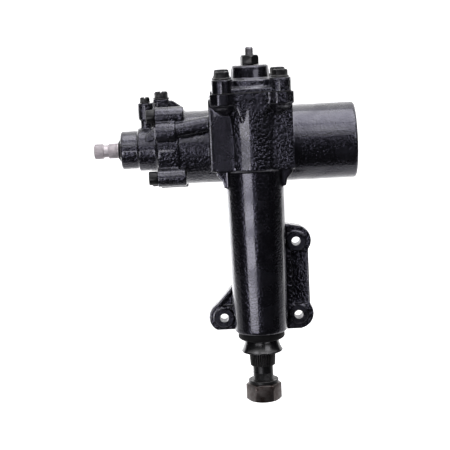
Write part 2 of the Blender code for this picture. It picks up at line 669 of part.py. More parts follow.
def gear_housing(paint):
    """The main casting."""
    bottom = TUBE_BOTTOM
    housing = add_object("gear_housing", turned(
        [(bottom, 0.0), (bottom, TUBE_BOTTOM_RADIUS - 2.0), (bottom + 2.0, TUBE_BOTTOM_RADIUS),
         (BLOCK_BOTTOM - TUBE_TAPER_GAP, TUBE_TOP_RADIUS), (BLOCK_TOP - TUBE_TOP_GAP, TUBE_TOP_RADIUS),
         (BLOCK_TOP - TUBE_TOP_GAP, 0.0)], "Z", SECTOR_AXIS, CAST_STEPS), paint)
    right_end = CYLINDER_RIGHT_END
    edge = CYLINDER_EDGE_ROUND
    radius = CYLINDER_RIGHT_RADIUS
    flange_end = JOINT_FACE + HOUSING_FLANGE_THICKNESS
    join(housing, turned(
        [(JOINT_FACE - 1.0, 0.0), (JOINT_FACE - 1.0, VALVE_FLANGE_RADIUS + 1.0),
         (flange_end, VALVE_FLANGE_RADIUS + 1.0), (flange_end + 2.0, CYLINDER_LEFT_RADIUS),
         (-5.0, CYLINDER_LEFT_RADIUS), (5.0, radius), (right_end - edge, radius),
         (right_end - 0.3 * edge, radius - 0.3 * edge), (right_end, radius - edge),
         (right_end, 0.0)], "X", PISTON_AXIS, CAST_STEPS))
    join(housing, *block_shapes())
    join(housing, *housing_flange_shapes())
    join(housing, *ear_shapes())
    cut(housing, slab("Z", BLOCK_TOP, BLOCK_TOP + 20), slab("X", JOINT_FACE - 20, JOINT_FACE))
    cut(housing, rod(BORE_RADIUS, JOINT_FACE - 5, BORE_END, "X", PISTON_AXIS, CAST_STEPS))
    cut(housing, prism(chamber_outline(CHAMBER_RADIUS, CHAMBER_FRONT_RADIUS),
                       CHAMBER_FLOOR, BLOCK_TOP + 5))
    cut(housing, rod(SHAFT_RADIUS + 1.0, TUBE_SHOULDER - 3, CHAMBER_FLOOR + 3, "Z",
                     SECTOR_AXIS, ROUND_STEPS))
    cut(housing, rod(TUBE_BORE_RADIUS, bottom - 5, TUBE_SHOULDER, "Z", SECTOR_AXIS, ROUND_STEPS))
    for x, y in COVER_BOLTS:
        floor = COVER_LOBE_TOP - COVER_BOLT_REACH - 1.0
        cut(housing, rod(BOLT_RADIUS + GAP, floor, BLOCK_TOP + 5, "Z", (x, y, 0), HOLE_STEPS))
    for y, z in VALVE_BOLTS:
        floor = VALVE_FLANGE_FACE + VALVE_BOLT_REACH + 1.0
        cut(housing, rod(BOLT_RADIUS + GAP, JOINT_FACE - 5, floor, "X", (0, y, z), HOLE_STEPS))
    cut(housing, sloped_rod(GALLERY_BORE, gallery_at(JOINT_FACE - 5, GALLERY_BORE_Y),
                            gallery_at(-BLOCK_HALF_WIDTH - 4, GALLERY_BORE_Y), SMALL_STEPS))
    for x, z in EAR_HOLES:
        cut(housing, rod(EAR_HOLE_RADIUS, -EAR_THICKNESS - PAD_HEIGHT - 5, 5, "Y", (x, 0, z), ROUND_STEPS))
    cut(housing, rod(DUST_RING_RADIUS + 1.0, TUBE_BOTTOM - 30, TUBE_BOTTOM, "Z", SECTOR_AXIS, ROUND_STEPS))
    reach = CYLINDER_RIGHT_END
    cut(housing, box((-reach, 0, -reach), (reach, PISTON_Y, PISTON_LEVEL - CYLINDER_RIGHT_RADIUS - 10)))
    cut(housing, box((-reach, -2 * EAR_THICKNESS, -reach), (-EAR_RADIUS, 5, -LEFT_EAR_DROP)))
    front = -EAR_THICKNESS
    left, right = RIGHT_HOLE_X - POCKET_LEFT, RIGHT_HOLE_X + POCKET_RIGHT
    hollow = [(left, front - 2), (left, front + POCKET_DEPTH), (right, front), (right, front - 2)]
    cut(housing, prism(hollow, POCKET_INSET, UPPER_HOLE_Z - POCKET_INSET))
    side, low = 2 - TUBE_BOTTOM_RADIUS, POCKET_INSET + 0.5
    hollow = [(LEFT_HOLE_X - 5, low), (side, LEFT_ARM_TOP - 4), (side, low)]
    cut(housing, prism(hollow, front - 2, front + LEFT_POCKET_DEPTH, "Y"))
    return housing


def cover_gasket(fibre):
    low, high = GASKET_BOTTOM, GASKET_BOTTOM + GASKET_THICKNESS
    gasket = add_object("cover_gasket", prism(
        flange_outline(FLANGE_FRONT - 1.0, BLOCK_HALF_WIDTH - 3.0, 12.0), low, high), fibre)
    for x, y in COVER_BOLTS:
        join(gasket, rod(COVER_LOBE_RADIUS, low - 3, high + 3, "Z", (x, y, 0), HOLE_STEPS))
    cut(gasket, slab("Z", low - 10, low), slab("Z", high, high + 10))
    cut(gasket, prism(chamber_outline(CHAMBER_RADIUS, CHAMBER_FRONT_RADIUS), low - 2, high + 2))
    for x, y in COVER_BOLTS:
        cut(gasket, rod(BOLT_RADIUS + GAP, low - 2, high + 2, "Z", (x, y, 0), HOLE_STEPS))
    return gasket


def sector_cover(paint):
    """The cover that carries the top of the sector shaft and its adjuster."""
    cover = add_object("sector_cover", prism(
        flange_outline(FLANGE_FRONT - 1.0, BLOCK_HALF_WIDTH - 3.0, 12.0),
        COVER_BOTTOM, COVER_PLATE_TOP), paint)
    for x, y in COVER_BOLTS:
        join(cover, rod(COVER_LOBE_RADIUS, COVER_BOTTOM - 1, COVER_LOBE_TOP, "Z", (x, y, 0), ROUND_STEPS))
    join(cover, turned(
        [(COVER_BOTTOM - 2, 0.0), (COVER_BOTTOM - 2, FLANGE_FRONT - 2.0),
         (COVER_PLATE_TOP - 0.5, FLANGE_FRONT - 2.0),
         (COVER_CONE_TOP, COVER_BOSS_RADIUS + 2.0), (COVER_CONE_TOP, COVER_BOSS_RADIUS),
         (COVER_TOP - 2.5, COVER_BOSS_RADIUS), (COVER_TOP - 0.7, COVER_BOSS_RADIUS - 0.9),
         (COVER_TOP, COVER_BOSS_RADIUS - 3.0), (COVER_TOP, 0.0)], "Z", SECTOR_AXIS, BORE_STEPS))
    for x, y in COVER_BOLTS:
        arm = [(x * 0.35, SECTOR_Y + (y - SECTOR_Y) * 0.35 - 5), (x, y - 7), (x, y + 7),
               (x * 0.35, SECTOR_Y + (y - SECTOR_Y) * 0.35 + 5)]
        join(cover, prism(arm, COVER_BOTTOM + 1, COVER_LOBE_TOP - 2))
    cut(cover, slab("Z", COVER_BOTTOM - 10, COVER_BOTTOM))
    join(cover, prism(chamber_outline(CHAMBER_RADIUS, CHAMBER_FRONT_RADIUS, GAP),
                      BLOCK_TOP - COVER_SPIGOT, COVER_BOTTOM + 2))
    cut(cover, rod(TUBE_BORE_RADIUS, BLOCK_TOP - COVER_SPIGOT - 3, COVER_BORE_TOP, "Z",
                   SECTOR_AXIS, ROUND_STEPS))
    cut(cover, rod(ADJUSTER_RADIUS + GAP, COVER_BORE_TOP - 3, COVER_TOP + 3, "Z", SECTOR_AXIS, HOLE_STEPS))
    for x, y in COVER_BOLTS:
        cut(cover, rod(BOLT_RADIUS + GAP, COVER_BOTTOM - 3, COVER_LOBE_TOP + 3, "Z", (x, y, 0), HOLE_STEPS))
    return cover


def flange_bolt(name, x, y, steel):
    """A flanged hexagon bolt, standing in the cover."""
    seat = COVER_LOBE_TOP + GAP
    flange = 2.0
    bolt = add_object(name, turned(
        [(COVER_LOBE_TOP - COVER_BOLT_REACH, 0.0), (COVER_LOBE_TOP - COVER_BOLT_REACH, BOLT_RADIUS - 1.0),
         (COVER_LOBE_TOP - COVER_BOLT_REACH + 1.0, BOLT_RADIUS), (seat, BOLT_RADIUS),
         (seat, COVER_BOLT_FLANGE_RADIUS), (seat + flange * 0.6, COVER_BOLT_FLANGE_RADIUS),
         (seat + flange, COVER_BOLT_FLANGE_RADIUS - 1.5), (seat + flange, 0.0)],
        "Z", (x, y, 0), HOLE_STEPS), steel)
    head = prism(regular(6, COVER_BOLT_ACROSS, (x, y), math.pi / 6), seat + flange - 0.5,
                 seat + COVER_BOLT_HEAD)
    join(bolt, head)
    return bolt


def socket_bolt(name, y, z, steel):
    """A socket head bolt, in the valve housing's flange."""
    seat = VALVE_FLANGE_FACE - VALVE_LOBE_PROUD - GAP
    top = seat - VALVE_BOLT_HEAD
    bolt = add_object(name, turned(
        [(VALVE_FLANGE_FACE + VALVE_BOLT_REACH, 0.0),
         (VALVE_FLANGE_FACE + VALVE_BOLT_REACH, BOLT_RADIUS), (seat, BOLT_RADIUS),
         (seat, VALVE_BOLT_HEAD_RADIUS), (top + 1.0, VALVE_BOLT_HEAD_RADIUS),
         (top, VALVE_BOLT_HEAD_RADIUS - 1.0), (top, 0.0)], "X", (0, y, z), HOLE_STEPS), steel)
    cut(bolt, prism(regular(6, VALVE_BOLT_SOCKET, (y, z)), top - 3, top + 5, "X"))
    return bolt


def adjuster(steel, nut_steel):
    """The adjuster screw, whose head sits in the slot of the sector shaft, and its lock nut."""
    head = SLOT_HEAD_HIGH - SLOT_HEAD_LOW - 2 * GAP
    low = SLOT_HEAD_LOW + GAP
    screw = add_object("adjuster_screw", turned(
        [(low, 0.0), (low, SLOT_HEAD_RADIUS - GAP), (low + head, SLOT_HEAD_RADIUS - GAP),
         (low + head, ADJUSTER_RADIUS), (ADJUSTER_TOP - 1.5, ADJUSTER_RADIUS),
         (ADJUSTER_TOP, ADJUSTER_RADIUS - 1.2), (ADJUSTER_TOP, 0.0)], "Z", SECTOR_AXIS, ROUND_STEPS), steel)
    cut(screw, box((-10, SECTOR_Y - 0.9, ADJUSTER_TOP - 3), (10, SECTOR_Y + 0.9, ADJUSTER_TOP + 3)))
    seat = COVER_TOP + GAP
    top = seat + LOCK_NUT_HEIGHT
    nut = add_object("adjuster_lock_nut", prism(
        regular(6, LOCK_NUT_ACROSS, (0, SECTOR_Y), math.radians(12)), seat, top), nut_steel)
    corner = LOCK_NUT_ACROSS / 2 / math.cos(math.pi / 6)
    turning = turned([(seat - 1, 0.0), (seat - 1, corner), (top - 3.5, corner), (top + 0.3, corner - 4.0),
                      (top + 0.3, 0.0)], "Z", SECTOR_AXIS, ROUND_STEPS)
    combine(nut, turning, "INTERSECT")
    cut(nut, rod(ADJUSTER_RADIUS + GAP, seat - 3, top + 3, "Z", SECTOR_AXIS, HOLE_STEPS))
    return [screw, nut]


def sector_gear_outline():
    """Five involute teeth towards the piston and a round hub at the front."""
    base = PITCH_RADIUS * math.cos(PRESSURE_ANGLE)
    half_at_pitch = (TOOTH_PITCH / 4 - FLANK_ROOM) / PITCH_RADIUS

    def half_angle(radius):
        if radius <= base:
            radius = base
        angle = math.acos(base / radius)
        roll = math.tan(angle) - angle
        return half_at_pitch + math.tan(PRESSURE_ANGLE) - PRESSURE_ANGLE - roll

    radii = [ROOT_RADIUS, base, base + 1.5, PITCH_RADIUS, PITCH_RADIUS + 2.0, TIP_RADIUS]
    spots = []
    middle = (SECTOR_TEETH - 1) / 2
    for k in range(SECTOR_TEETH):
        centre = (k - middle) * 2 * math.pi / TEETH_IN_FULL_GEAR
        spots += [(centre - half_angle(radius), radius) for radius in radii]
        spots += [(centre + half_angle(radius), radius) for radius in reversed(radii)]
    last = spots[-1][0] + 0.04
    spots = [(-last, ROOT_RADIUS)] + spots + [(last, ROOT_RADIUS)]
    rest = 10
    for k in range(rest + 1):
        angle = last + 0.12 + (2 * math.pi - 2 * last - 0.24) * k / rest
        spots.append((angle, GEAR_HUB_RADIUS))
    return [(radius * math.sin(angle), SECTOR_Y + radius * math.cos(angle)) for angle, radius in spots]


def sector_shaft(steel):
    """The output shaft with its toothed sector, tapered serration and thread."""
    shaft = add_object("sector_shaft", turned(
        [(SHAFT_END, 0.0), (SHAFT_END, NECK_RADIUS - 1.5), (SHAFT_END + 1.5, NECK_RADIUS),
         (SERRATION_BOTTOM, NECK_RADIUS), (SERRATION_BOTTOM, SERRATION_RADIUS - 2.5),
         (SERRATION_TOP, SERRATION_RADIUS - 1.2), (SERRATION_TOP + 4, SHAFT_RADIUS),
         (SHAFT_TOP - 1.0, SHAFT_RADIUS), (SHAFT_TOP, SHAFT_RADIUS - 1.0), (SHAFT_TOP, 0.0)],
        "Z", SECTOR_AXIS, ROUND_STEPS), steel, SECTOR_ORIGIN)
    join(shaft, prism(sector_gear_outline(), GEAR_BOTTOM, GEAR_TOP))
    join(shaft, prism(toothed(SERRATION_COUNT, SERRATION_RADIUS, 1.3, (0, SECTOR_Y)),
                      SERRATION_TOP + 1.0, SERRATION_BOTTOM + 0.2, "Z", 0.94, (0, SECTOR_Y)))
    neck = ADJUSTER_RADIUS + 0.7
    wide = SLOT_HEAD_RADIUS
    reach = SHAFT_RADIUS + 5
    cut(shaft, box((-reach, SECTOR_Y - wide, SLOT_HEAD_LOW), (reach, SECTOR_Y + wide, SLOT_HEAD_HIGH)))
    cut(shaft, box((-reach, SECTOR_Y - neck, SLOT_HEAD_HIGH - 1), (reach, SECTOR_Y + neck, SHAFT_TOP + 3)))
    return shaft


def shaft_fittings(rubber, washer_steel, nut_steel):
    """The dust boot, the spring washer and the nut that hold the drop arm."""
    boot = add_object("dust_boot", turned(
        [(BOOT_TOP, SHAFT_RADIUS + GAP), (BOOT_TOP, BOOT_TOP_RADIUS), (BOOT_TOP - 3, BOOT_TOP_RADIUS + 0.4),
         (BOOT_LIP + 4, BOOT_LIP_RADIUS - 1.6), (BOOT_LIP + 1.6, BOOT_LIP_RADIUS),
         (BOOT_LIP, BOOT_LIP_RADIUS - 0.3), (BOOT_LIP + 1.0, BOOT_LIP_RADIUS - 2.4),
         (BOOT_TOP - 6, SHAFT_RADIUS + GAP)], "Z", SECTOR_AXIS, BORE_STEPS), rubber, SECTOR_ORIGIN)
    high = NUT_TOP + GAP + WASHER_THICKNESS
    washer = add_object("lock_washer", tube(WASHER_RADIUS, NECK_RADIUS + GAP, NUT_TOP + GAP, high,
                                            "Z", SECTOR_AXIS, ROUND_STEPS, 0.5), washer_steel, SECTOR_ORIGIN)
    cut(washer, hull([(10, SECTOR_Y + y, z) for y, z in
                      ((2.4, high + 1), (3.6, high + 1), (-0.6, NUT_TOP - 1), (0.6, NUT_TOP - 1))]
                     + [(25, SECTOR_Y + y, z) for y, z in
                        ((2.4, high + 1), (3.6, high + 1), (-0.6, NUT_TOP - 1), (0.6, NUT_TOP - 1))]))
    nut = add_object("pitman_nut", prism(regular(6, NUT_ACROSS, (0, SECTOR_Y), 0.0),
                                         NUT_BOTTOM, NUT_TOP), nut_steel, SECTOR_ORIGIN)
    corner = NUT_ACROSS / 2 / math.cos(math.pi / 6)
    chamfer = 1.8
    combine(nut, tube_between(
        [(NUT_BOTTOM - 0.3, NUT_ACROSS / 2 - 0.5), (NUT_BOTTOM + chamfer, corner + 0.7),
         (NUT_TOP - chamfer, corner + 0.7), (NUT_TOP + 0.3, NUT_ACROSS / 2 - 0.5)],
        NECK_RADIUS + GAP, SECTOR_AXIS, ROUND_STEPS), "INTERSECT")
    return [boot, washer, nut]


def shaft_bearings(steel, rubber, bronze):
    """What the sector shaft turns in, from the cover down to the dust ring."""
    outer, inner = TUBE_BORE_RADIUS - GAP, SHAFT_RADIUS + GAP
    pieces = []
    bearing_low = TUBE_BOTTOM + LOWER_BEARING_RISE
    for name, low, high, material in (
            ("cover_bushing", BLOCK_TOP - COVER_SPIGOT + 1.0, COVER_BORE_TOP - BUSHING_ROOM, bronze),
            ("upper_needle_bearing", TUBE_SHOULDER - NEEDLE_BEARING_LENGTH, TUBE_SHOULDER - GAP, steel),
            ("lower_needle_bearing", bearing_low, bearing_low + NEEDLE_BEARING_LENGTH, steel)):
        bearing = tube(outer, inner, low, high, "Z", SECTOR_AXIS, ROUND_STEPS, 0.8)
        pieces.append(add_object(name, bearing, material))
    lip = inner + OIL_SEAL_LIP
    seal_low = TUBE_BOTTOM + OIL_SEAL_RISE
    seal_high = seal_low + OIL_SEAL_HEIGHT
    washer_low = seal_low - GAP - SEAL_WASHER_THICKNESS
    snap_low = washer_low - GAP - SNAP_RING_THICKNESS
    pieces.append(add_object("sector_oil_seal", turned(
        [(seal_high, inner), (seal_high, outer), (seal_low, outer), (seal_low, lip + 1.0),
         (seal_high - 4.0, lip + 1.0), (seal_high - 4.0, lip), (seal_low + 1.0, lip - 0.4),
         (seal_low + 1.0, inner)], "Z", SECTOR_AXIS, ROUND_STEPS), rubber))
    washer = tube(outer, inner, washer_low, seal_low - GAP, "Z", SECTOR_AXIS, ROUND_STEPS)
    pieces.append(add_object("seal_washer", washer, steel))
    snap = tube(outer, outer - SNAP_RING_DEPTH, snap_low, washer_low - GAP, "Z", SECTOR_AXIS, ROUND_STEPS)
    snap_ring = add_object("seal_snap_ring", snap, steel)
    cut(snap_ring, box((-3, SECTOR_Y - 30, snap_low - 5), (3, SECTOR_Y, washer_low + 5)))
    pieces.append(snap_ring)
    ring_low = DUST_RING_BOTTOM
    face = TUBE_BOTTOM - GAP
    pieces.append(add_object("dust_ring", turned(
        [(ring_low, inner), (ring_low, DUST_RING_RADIUS - 3.0), (ring_low + 2.5, DUST_RING_RADIUS),
         (face, DUST_RING_RADIUS), (face, outer), (snap_low - GAP, outer), (snap_low - GAP, inner)],
        "Z", SECTOR_AXIS, ROUND_STEPS), rubber))
    return pieces


def rack_piston(steel):
    """The piston: rack teeth towards the sector, a ball nut inside, a ring at its closed end."""
    piston = add_object("rack_piston", turned(
        [(PISTON_LEFT, NUT_BORE_RADIUS), (PISTON_LEFT, PISTON_RADIUS - 1.0),
         (PISTON_LEFT + 1.0, PISTON_RADIUS), (RING_GROOVE_CENTRE - RING_WIDTH / 2 - GAP, PISTON_RADIUS),
         (RING_GROOVE_CENTRE - RING_WIDTH / 2 - GAP, PISTON_RADIUS - RING_DEPTH - GAP),
         (RING_GROOVE_CENTRE + RING_WIDTH / 2 + GAP, PISTON_RADIUS - RING_DEPTH - GAP),
         (RING_GROOVE_CENTRE + RING_WIDTH / 2 + GAP, PISTON_RADIUS), (PISTON_RIGHT - 1.0, PISTON_RADIUS),
         (PISTON_RIGHT, PISTON_RADIUS - 1.0), (PISTON_RIGHT, REAR_BORE_RADIUS + 2.0),
         (PISTON_RIGHT - END_PLUG_LENGTH, REAR_BORE_RADIUS + 2.0),
         (PISTON_RIGHT - END_PLUG_LENGTH, REAR_BORE_RADIUS), (NUT_BORE_END + 4.2, REAR_BORE_RADIUS),
         (NUT_BORE_END, NUT_BORE_RADIUS)], "X", PISTON_AXIS, BORE_STEPS), steel, PISTON_ORIGIN)
    reach = BORE_RADIUS + 5
    cut(piston, box((PISTON_LEFT - 5, PISTON_Y - reach, PISTON_LEVEL - reach),
                    (RACK_FLAT_END, RACK_TIP_Y, PISTON_LEVEL + reach)))
    half = TOOTH_PITCH / 4 + FLANK_ROOM
    slope = math.tan(PRESSURE_ANGLE)
    open_y = RACK_TIP_Y - 3.0
    pitch_y = PISTON_Y - RACK_DEPTH
    middle = (SECTOR_TEETH - 1) / 2
    for k in range(SECTOR_TEETH):
        x = (k - middle) * TOOTH_PITCH
        wide, narrow = half + (pitch_y - open_y) * slope, half - (RACK_ROOT_Y - pitch_y) * slope
        gap = [(x - wide, open_y), (x + wide, open_y), (x + narrow, RACK_ROOT_Y), (x - narrow, RACK_ROOT_Y)]
        cut(piston, prism(gap, PISTON_LEVEL - reach, PISTON_LEVEL + reach))
    cut(piston, box((CIRCUIT_LEFT - 16, PISTON_Y + GUIDE_FLAT, PISTON_LEVEL - reach),
                    (CIRCUIT_RIGHT + 16, PISTON_Y + reach, PISTON_LEVEL + reach)))
    for x in (CIRCUIT_LEFT, CIRCUIT_RIGHT):
        cut(piston, rod(GUIDE_TUBE_RADIUS + GAP, PISTON_Y + NUT_BORE_RADIUS - 4, PISTON_Y + reach, "Y",
                        (x, 0, PISTON_LEVEL), HOLE_STEPS))
    cut(piston, helix(BALL_CIRCLE, CIRCUIT_LEFT - 1, CIRCUIT_RIGHT + 1, GROOVE_RADIUS, 0.0))
    for x in clamp_screw_places():
        cut(piston, rod(CLAMP_SCREW_RADIUS + GAP, PISTON_Y + GUIDE_FLAT - CLAMP_SCREW_LENGTH + 1,
                        PISTON_Y + GUIDE_FLAT + 5, "Y", (x, 0, PISTON_LEVEL), SMALL_STEPS))
    return piston


def clamp_screw_places():
    return CIRCUIT_LEFT - CLAMP_SCREW_SPOT, CIRCUIT_RIGHT + CLAMP_SCREW_SPOT


def return_guide(steel):
    """The bent tube that brings the balls back, its clamp and the two clamp screws."""
    level = PISTON_Y + GUIDE_LEVEL
    radius = GUIDE_TUBE_RADIUS
    foot = PISTON_Y + BALL_CIRCLE + BALL_RADIUS + GROOVE_ROOM + 2 * GAP
    legs = (CIRCUIT_LEFT, CIRCUIT_RIGHT)
    leg_left, leg_right = [rod(radius, foot, level, "Y", (x, 0, PISTON_LEVEL), HOLE_STEPS) for x in legs]
    guide = add_object("ball_return_guide", leg_left, steel, PISTON_ORIGIN)
    join(guide, leg_right)
    join(guide, rod(radius - 0.02, legs[0], legs[1], "X", (0, level, PISTON_LEVEL), HOLE_STEPS))
    top = level + radius
    cap = top + GAP
    base = PISTON_Y + GUIDE_FLAT + GAP
    low, high = PISTON_LEVEL - CLAMP_WIDTH / 2, PISTON_LEVEL + CLAMP_WIDTH / 2
    clamp = add_object("guide_clamp", box((legs[0] - CLAMP_OVERHANG, base, low),
                                          (legs[1] + CLAMP_OVERHANG, base + CLAMP_THICKNESS, high)),
                       steel, PISTON_ORIGIN)
    arch_left, arch_right = legs[0] - radius - GAP, legs[1] + radius + GAP
    join(clamp, box((arch_left - CLAMP_THICKNESS, base, low),
                    (arch_right + CLAMP_THICKNESS, cap + CLAMP_THICKNESS, high)))
    cut(clamp, box((arch_left, PISTON_Y, low - CLAMP_WIDTH), (arch_right, cap, high + CLAMP_WIDTH)))
    screws = []
    seat = base + GAP + CLAMP_THICKNESS
    shank, head = CLAMP_SCREW_RADIUS, CLAMP_SCREW_RADIUS + 1.5
    for index, x in enumerate(clamp_screw_places(), 1):
        cut(clamp, rod(shank + GAP, base - 3, seat + 3, "Y", (x, 0, PISTON_LEVEL), SMALL_STEPS))
        screw = turned([(seat - CLAMP_SCREW_LENGTH, 0.0), (seat - CLAMP_SCREW_LENGTH, shank), (seat, shank),
                        (seat, head), (seat + 2.2, head), (seat + 3.0, head - 0.8), (seat + 3.0, 0.0)],
                       "Y", (x, 0, PISTON_LEVEL), SMALL_STEPS)
        screws.append(add_object(f"clamp_screw_{index}", screw, steel, PISTON_ORIGIN))
    return [guide, clamp] + screws


def circuit_balls(steel):
    """Balls spaced along the groove between the worm and the piston."""
    balls = []
    for index in range(BALL_COUNT):
        along = CIRCUIT_LEFT + 2 + (CIRCUIT_RIGHT - CIRCUIT_LEFT - 4) * index / (BALL_COUNT - 1)
        angle = 2 * math.pi * along / SCREW_LEAD
        shape = bmesh.new()
        bmesh.ops.create_icosphere(shape, subdivisions=2, radius=BALL_RADIUS)
        spot = Vector((along, PISTON_Y + BALL_CIRCLE * math.cos(angle),
                       PISTON_LEVEL + BALL_CIRCLE * math.sin(angle)))
        bmesh.ops.translate(shape, vec=spot, verts=shape.verts)
        balls.append(add_object(f"ball_{index + 1}", shape, steel, PISTON_ORIGIN))
    return balls


def piston_fittings(steel, polymer):
    low = RING_GROOVE_CENTRE - RING_WIDTH / 2
    high = RING_GROOVE_CENTRE + RING_WIDTH / 2
    ring = add_object("piston_ring", tube(BORE_RADIUS - 0.1, PISTON_RADIUS - RING_DEPTH, low, high,
                                          "X", PISTON_AXIS, BORE_STEPS), polymer, PISTON_ORIGIN)
    outer = REAR_BORE_RADIUS + 2.0 - GAP
    left = PISTON_RIGHT - END_PLUG_LENGTH + GAP
    plug_rod = rod(outer, left, PISTON_RIGHT - 1.0, "X", PISTON_AXIS, ROUND_STEPS, 0.8)
    plug = add_object("piston_end_plug", plug_rod, steel, PISTON_ORIGIN)
    cut(plug, box((PISTON_RIGHT - 6, PISTON_Y - 5, PISTON_LEVEL - 5),
                  (PISTON_RIGHT + 5, PISTON_Y + 5, PISTON_LEVEL + 5)))
    return [ring, plug]


def worm_shaft(steel):
    """The ball screw, hollow for the torsion bar."""
    bore = TORSION_BAR_RADIUS + 2 * GAP
    left = SLEEVE_RIGHT + GAP
    journal = BEARING_BORE - GAP
    collar = BEARING_RIGHT + 1.0
    collar_radius = BEARING_BORE + 2.2
    core = WORM_RADIUS - 3.0
    worm = add_object("worm_shaft", turned(
        [(left, 0.0), (left, journal - 0.6), (left + 0.6, journal), (collar, journal),
         (collar, collar_radius), (collar + 8.0, collar_radius), (collar + 10.0, core),
         (WORM_THREAD_LEFT - 4.0, core), (WORM_THREAD_LEFT - 3.0, WORM_RADIUS),
         (WORM_RIGHT - 2.0, WORM_RADIUS), (WORM_RIGHT, WORM_RADIUS - 2.0), (WORM_RIGHT, 0.0)],
        "X", PISTON_AXIS, ROUND_STEPS), steel, PISTON_ORIGIN)
    cut(worm, helix(BALL_CIRCLE, WORM_THREAD_LEFT, WORM_RIGHT + 8, GROOVE_RADIUS, 0.0))
    cut(worm, rod(bore, left - 3, TORSION_RIGHT + GAP, "X", PISTON_AXIS, HOLE_STEPS))
    return worm


def valve_sleeve(steel):
    """The outer part of the rotary valve, with grooves for its rings and ports between them."""
    outer, inner = SLEEVE_RADIUS, ROTOR_RADIUS + GAP
    places = ring_places()
    middles = [(left + right) / 2 for left, right in zip(places, places[1:])]
    grooves = [(x, SLEEVE_RING_WIDTH / 2 + GAP, SLEEVE_GROOVE_DEPTH) for x in places]
    grooves += [(x, SLEEVE_OIL_GROOVE / 2, SLEEVE_GROOVE_DEPTH - 0.6) for x in middles]
    profile = [(SLEEVE_LEFT, inner), (SLEEVE_LEFT, outer - 0.4), (SLEEVE_LEFT + 0.4, outer)]
    for x, half, depth in sorted(grooves):
        floor = outer - depth
        profile += [(x - half, outer), (x - half, floor), (x + half, floor), (x + half, outer)]
    profile += [(SLEEVE_RIGHT - 0.4, outer), (SLEEVE_RIGHT, outer - 0.4), (SLEEVE_RIGHT, inner)]
    sleeve = add_object("valve_sleeve", turned(profile, "X", PISTON_AXIS, ROUND_STEPS), steel, PISTON_ORIGIN)
    for x in middles:
        cut(sleeve, rod(1.2, PISTON_LEVEL + 5, PISTON_LEVEL + outer + 3, "Z", (x, PISTON_Y, 0), SMALL_STEPS))
        cut(sleeve, rod(1.2, PISTON_LEVEL - outer - 3, PISTON_LEVEL - 5, "Z", (x, PISTON_Y, 0), SMALL_STEPS))
    return sleeve


def ring_places():
    spacing = (SLEEVE_RIGHT - SLEEVE_LEFT) / RING_COUNT
    return [SLEEVE_LEFT + spacing * (k + 0.5) for k in range(RING_COUNT)]


def sleeve_rings(polymer):
    return [add_object(f"sleeve_ring_{index}", tube(
        SLEEVE_RING_RADIUS, SLEEVE_RADIUS - SLEEVE_GROOVE_DEPTH + GAP, x - SLEEVE_RING_WIDTH / 2,
        x + SLEEVE_RING_WIDTH / 2, "X", PISTON_AXIS, BORE_STEPS), polymer, PISTON_ORIGIN)
        for index, x in enumerate(ring_places(), 1)]


def input_shaft(bright):
    """The serrated input shaft, with the valve rotor at its inner end."""
    root = INPUT_RADIUS - INPUT_SERRATION_DEPTH - 0.2
    neck = INPUT_RADIUS
    shoulder = VALVE_BORE_LEFT + 2 * GAP
    shaft = add_object("input_shaft", turned(
        [(INPUT_END, 0.0), (INPUT_END, root - 1.0), (INPUT_END + 1.0, root), (INPUT_GROOVE_LEFT, root),
         (INPUT_GROOVE_LEFT, INPUT_GROOVE_RADIUS), (INPUT_GROOVE_RIGHT, INPUT_GROOVE_RADIUS),
         (INPUT_GROOVE_RIGHT, root), (INPUT_SERRATION_RIGHT, root), (INPUT_SERRATION_RIGHT + 1.0, neck),
         (shoulder, neck), (shoulder, ROTOR_RADIUS), (ROTOR_RIGHT, ROTOR_RADIUS), (ROTOR_RIGHT, 0.0)],
        "X", PISTON_AXIS, ROUND_STEPS), bright, PISTON_ORIGIN)
    middle = (PISTON_Y, PISTON_LEVEL)
    teeth = toothed(INPUT_SERRATION_COUNT, INPUT_RADIUS, INPUT_SERRATION_DEPTH, middle)
    join(shaft, prism(teeth, INPUT_END + 1.2, INPUT_GROOVE_LEFT - 0.4, "X"))
    join(shaft, prism(teeth, INPUT_GROOVE_RIGHT + 0.4, INPUT_SERRATION_RIGHT, "X"))
    for k in range(6):
        angle = math.pi / 3 * (k + 0.27)
        y = PISTON_Y + ROTOR_RADIUS * math.cos(angle)
        z = PISTON_LEVEL + ROTOR_RADIUS * math.sin(angle)
        cut(shaft, rod(1.6, shoulder + 5, ROTOR_RIGHT - 4, "X", (0, y, z), SMALL_STEPS))
    cut(shaft, rod(TORSION_BAR_RADIUS + 2 * GAP, TORSION_LEFT - GAP, ROTOR_RIGHT + 3, "X",
                   PISTON_AXIS, HOLE_STEPS))
    return shaft


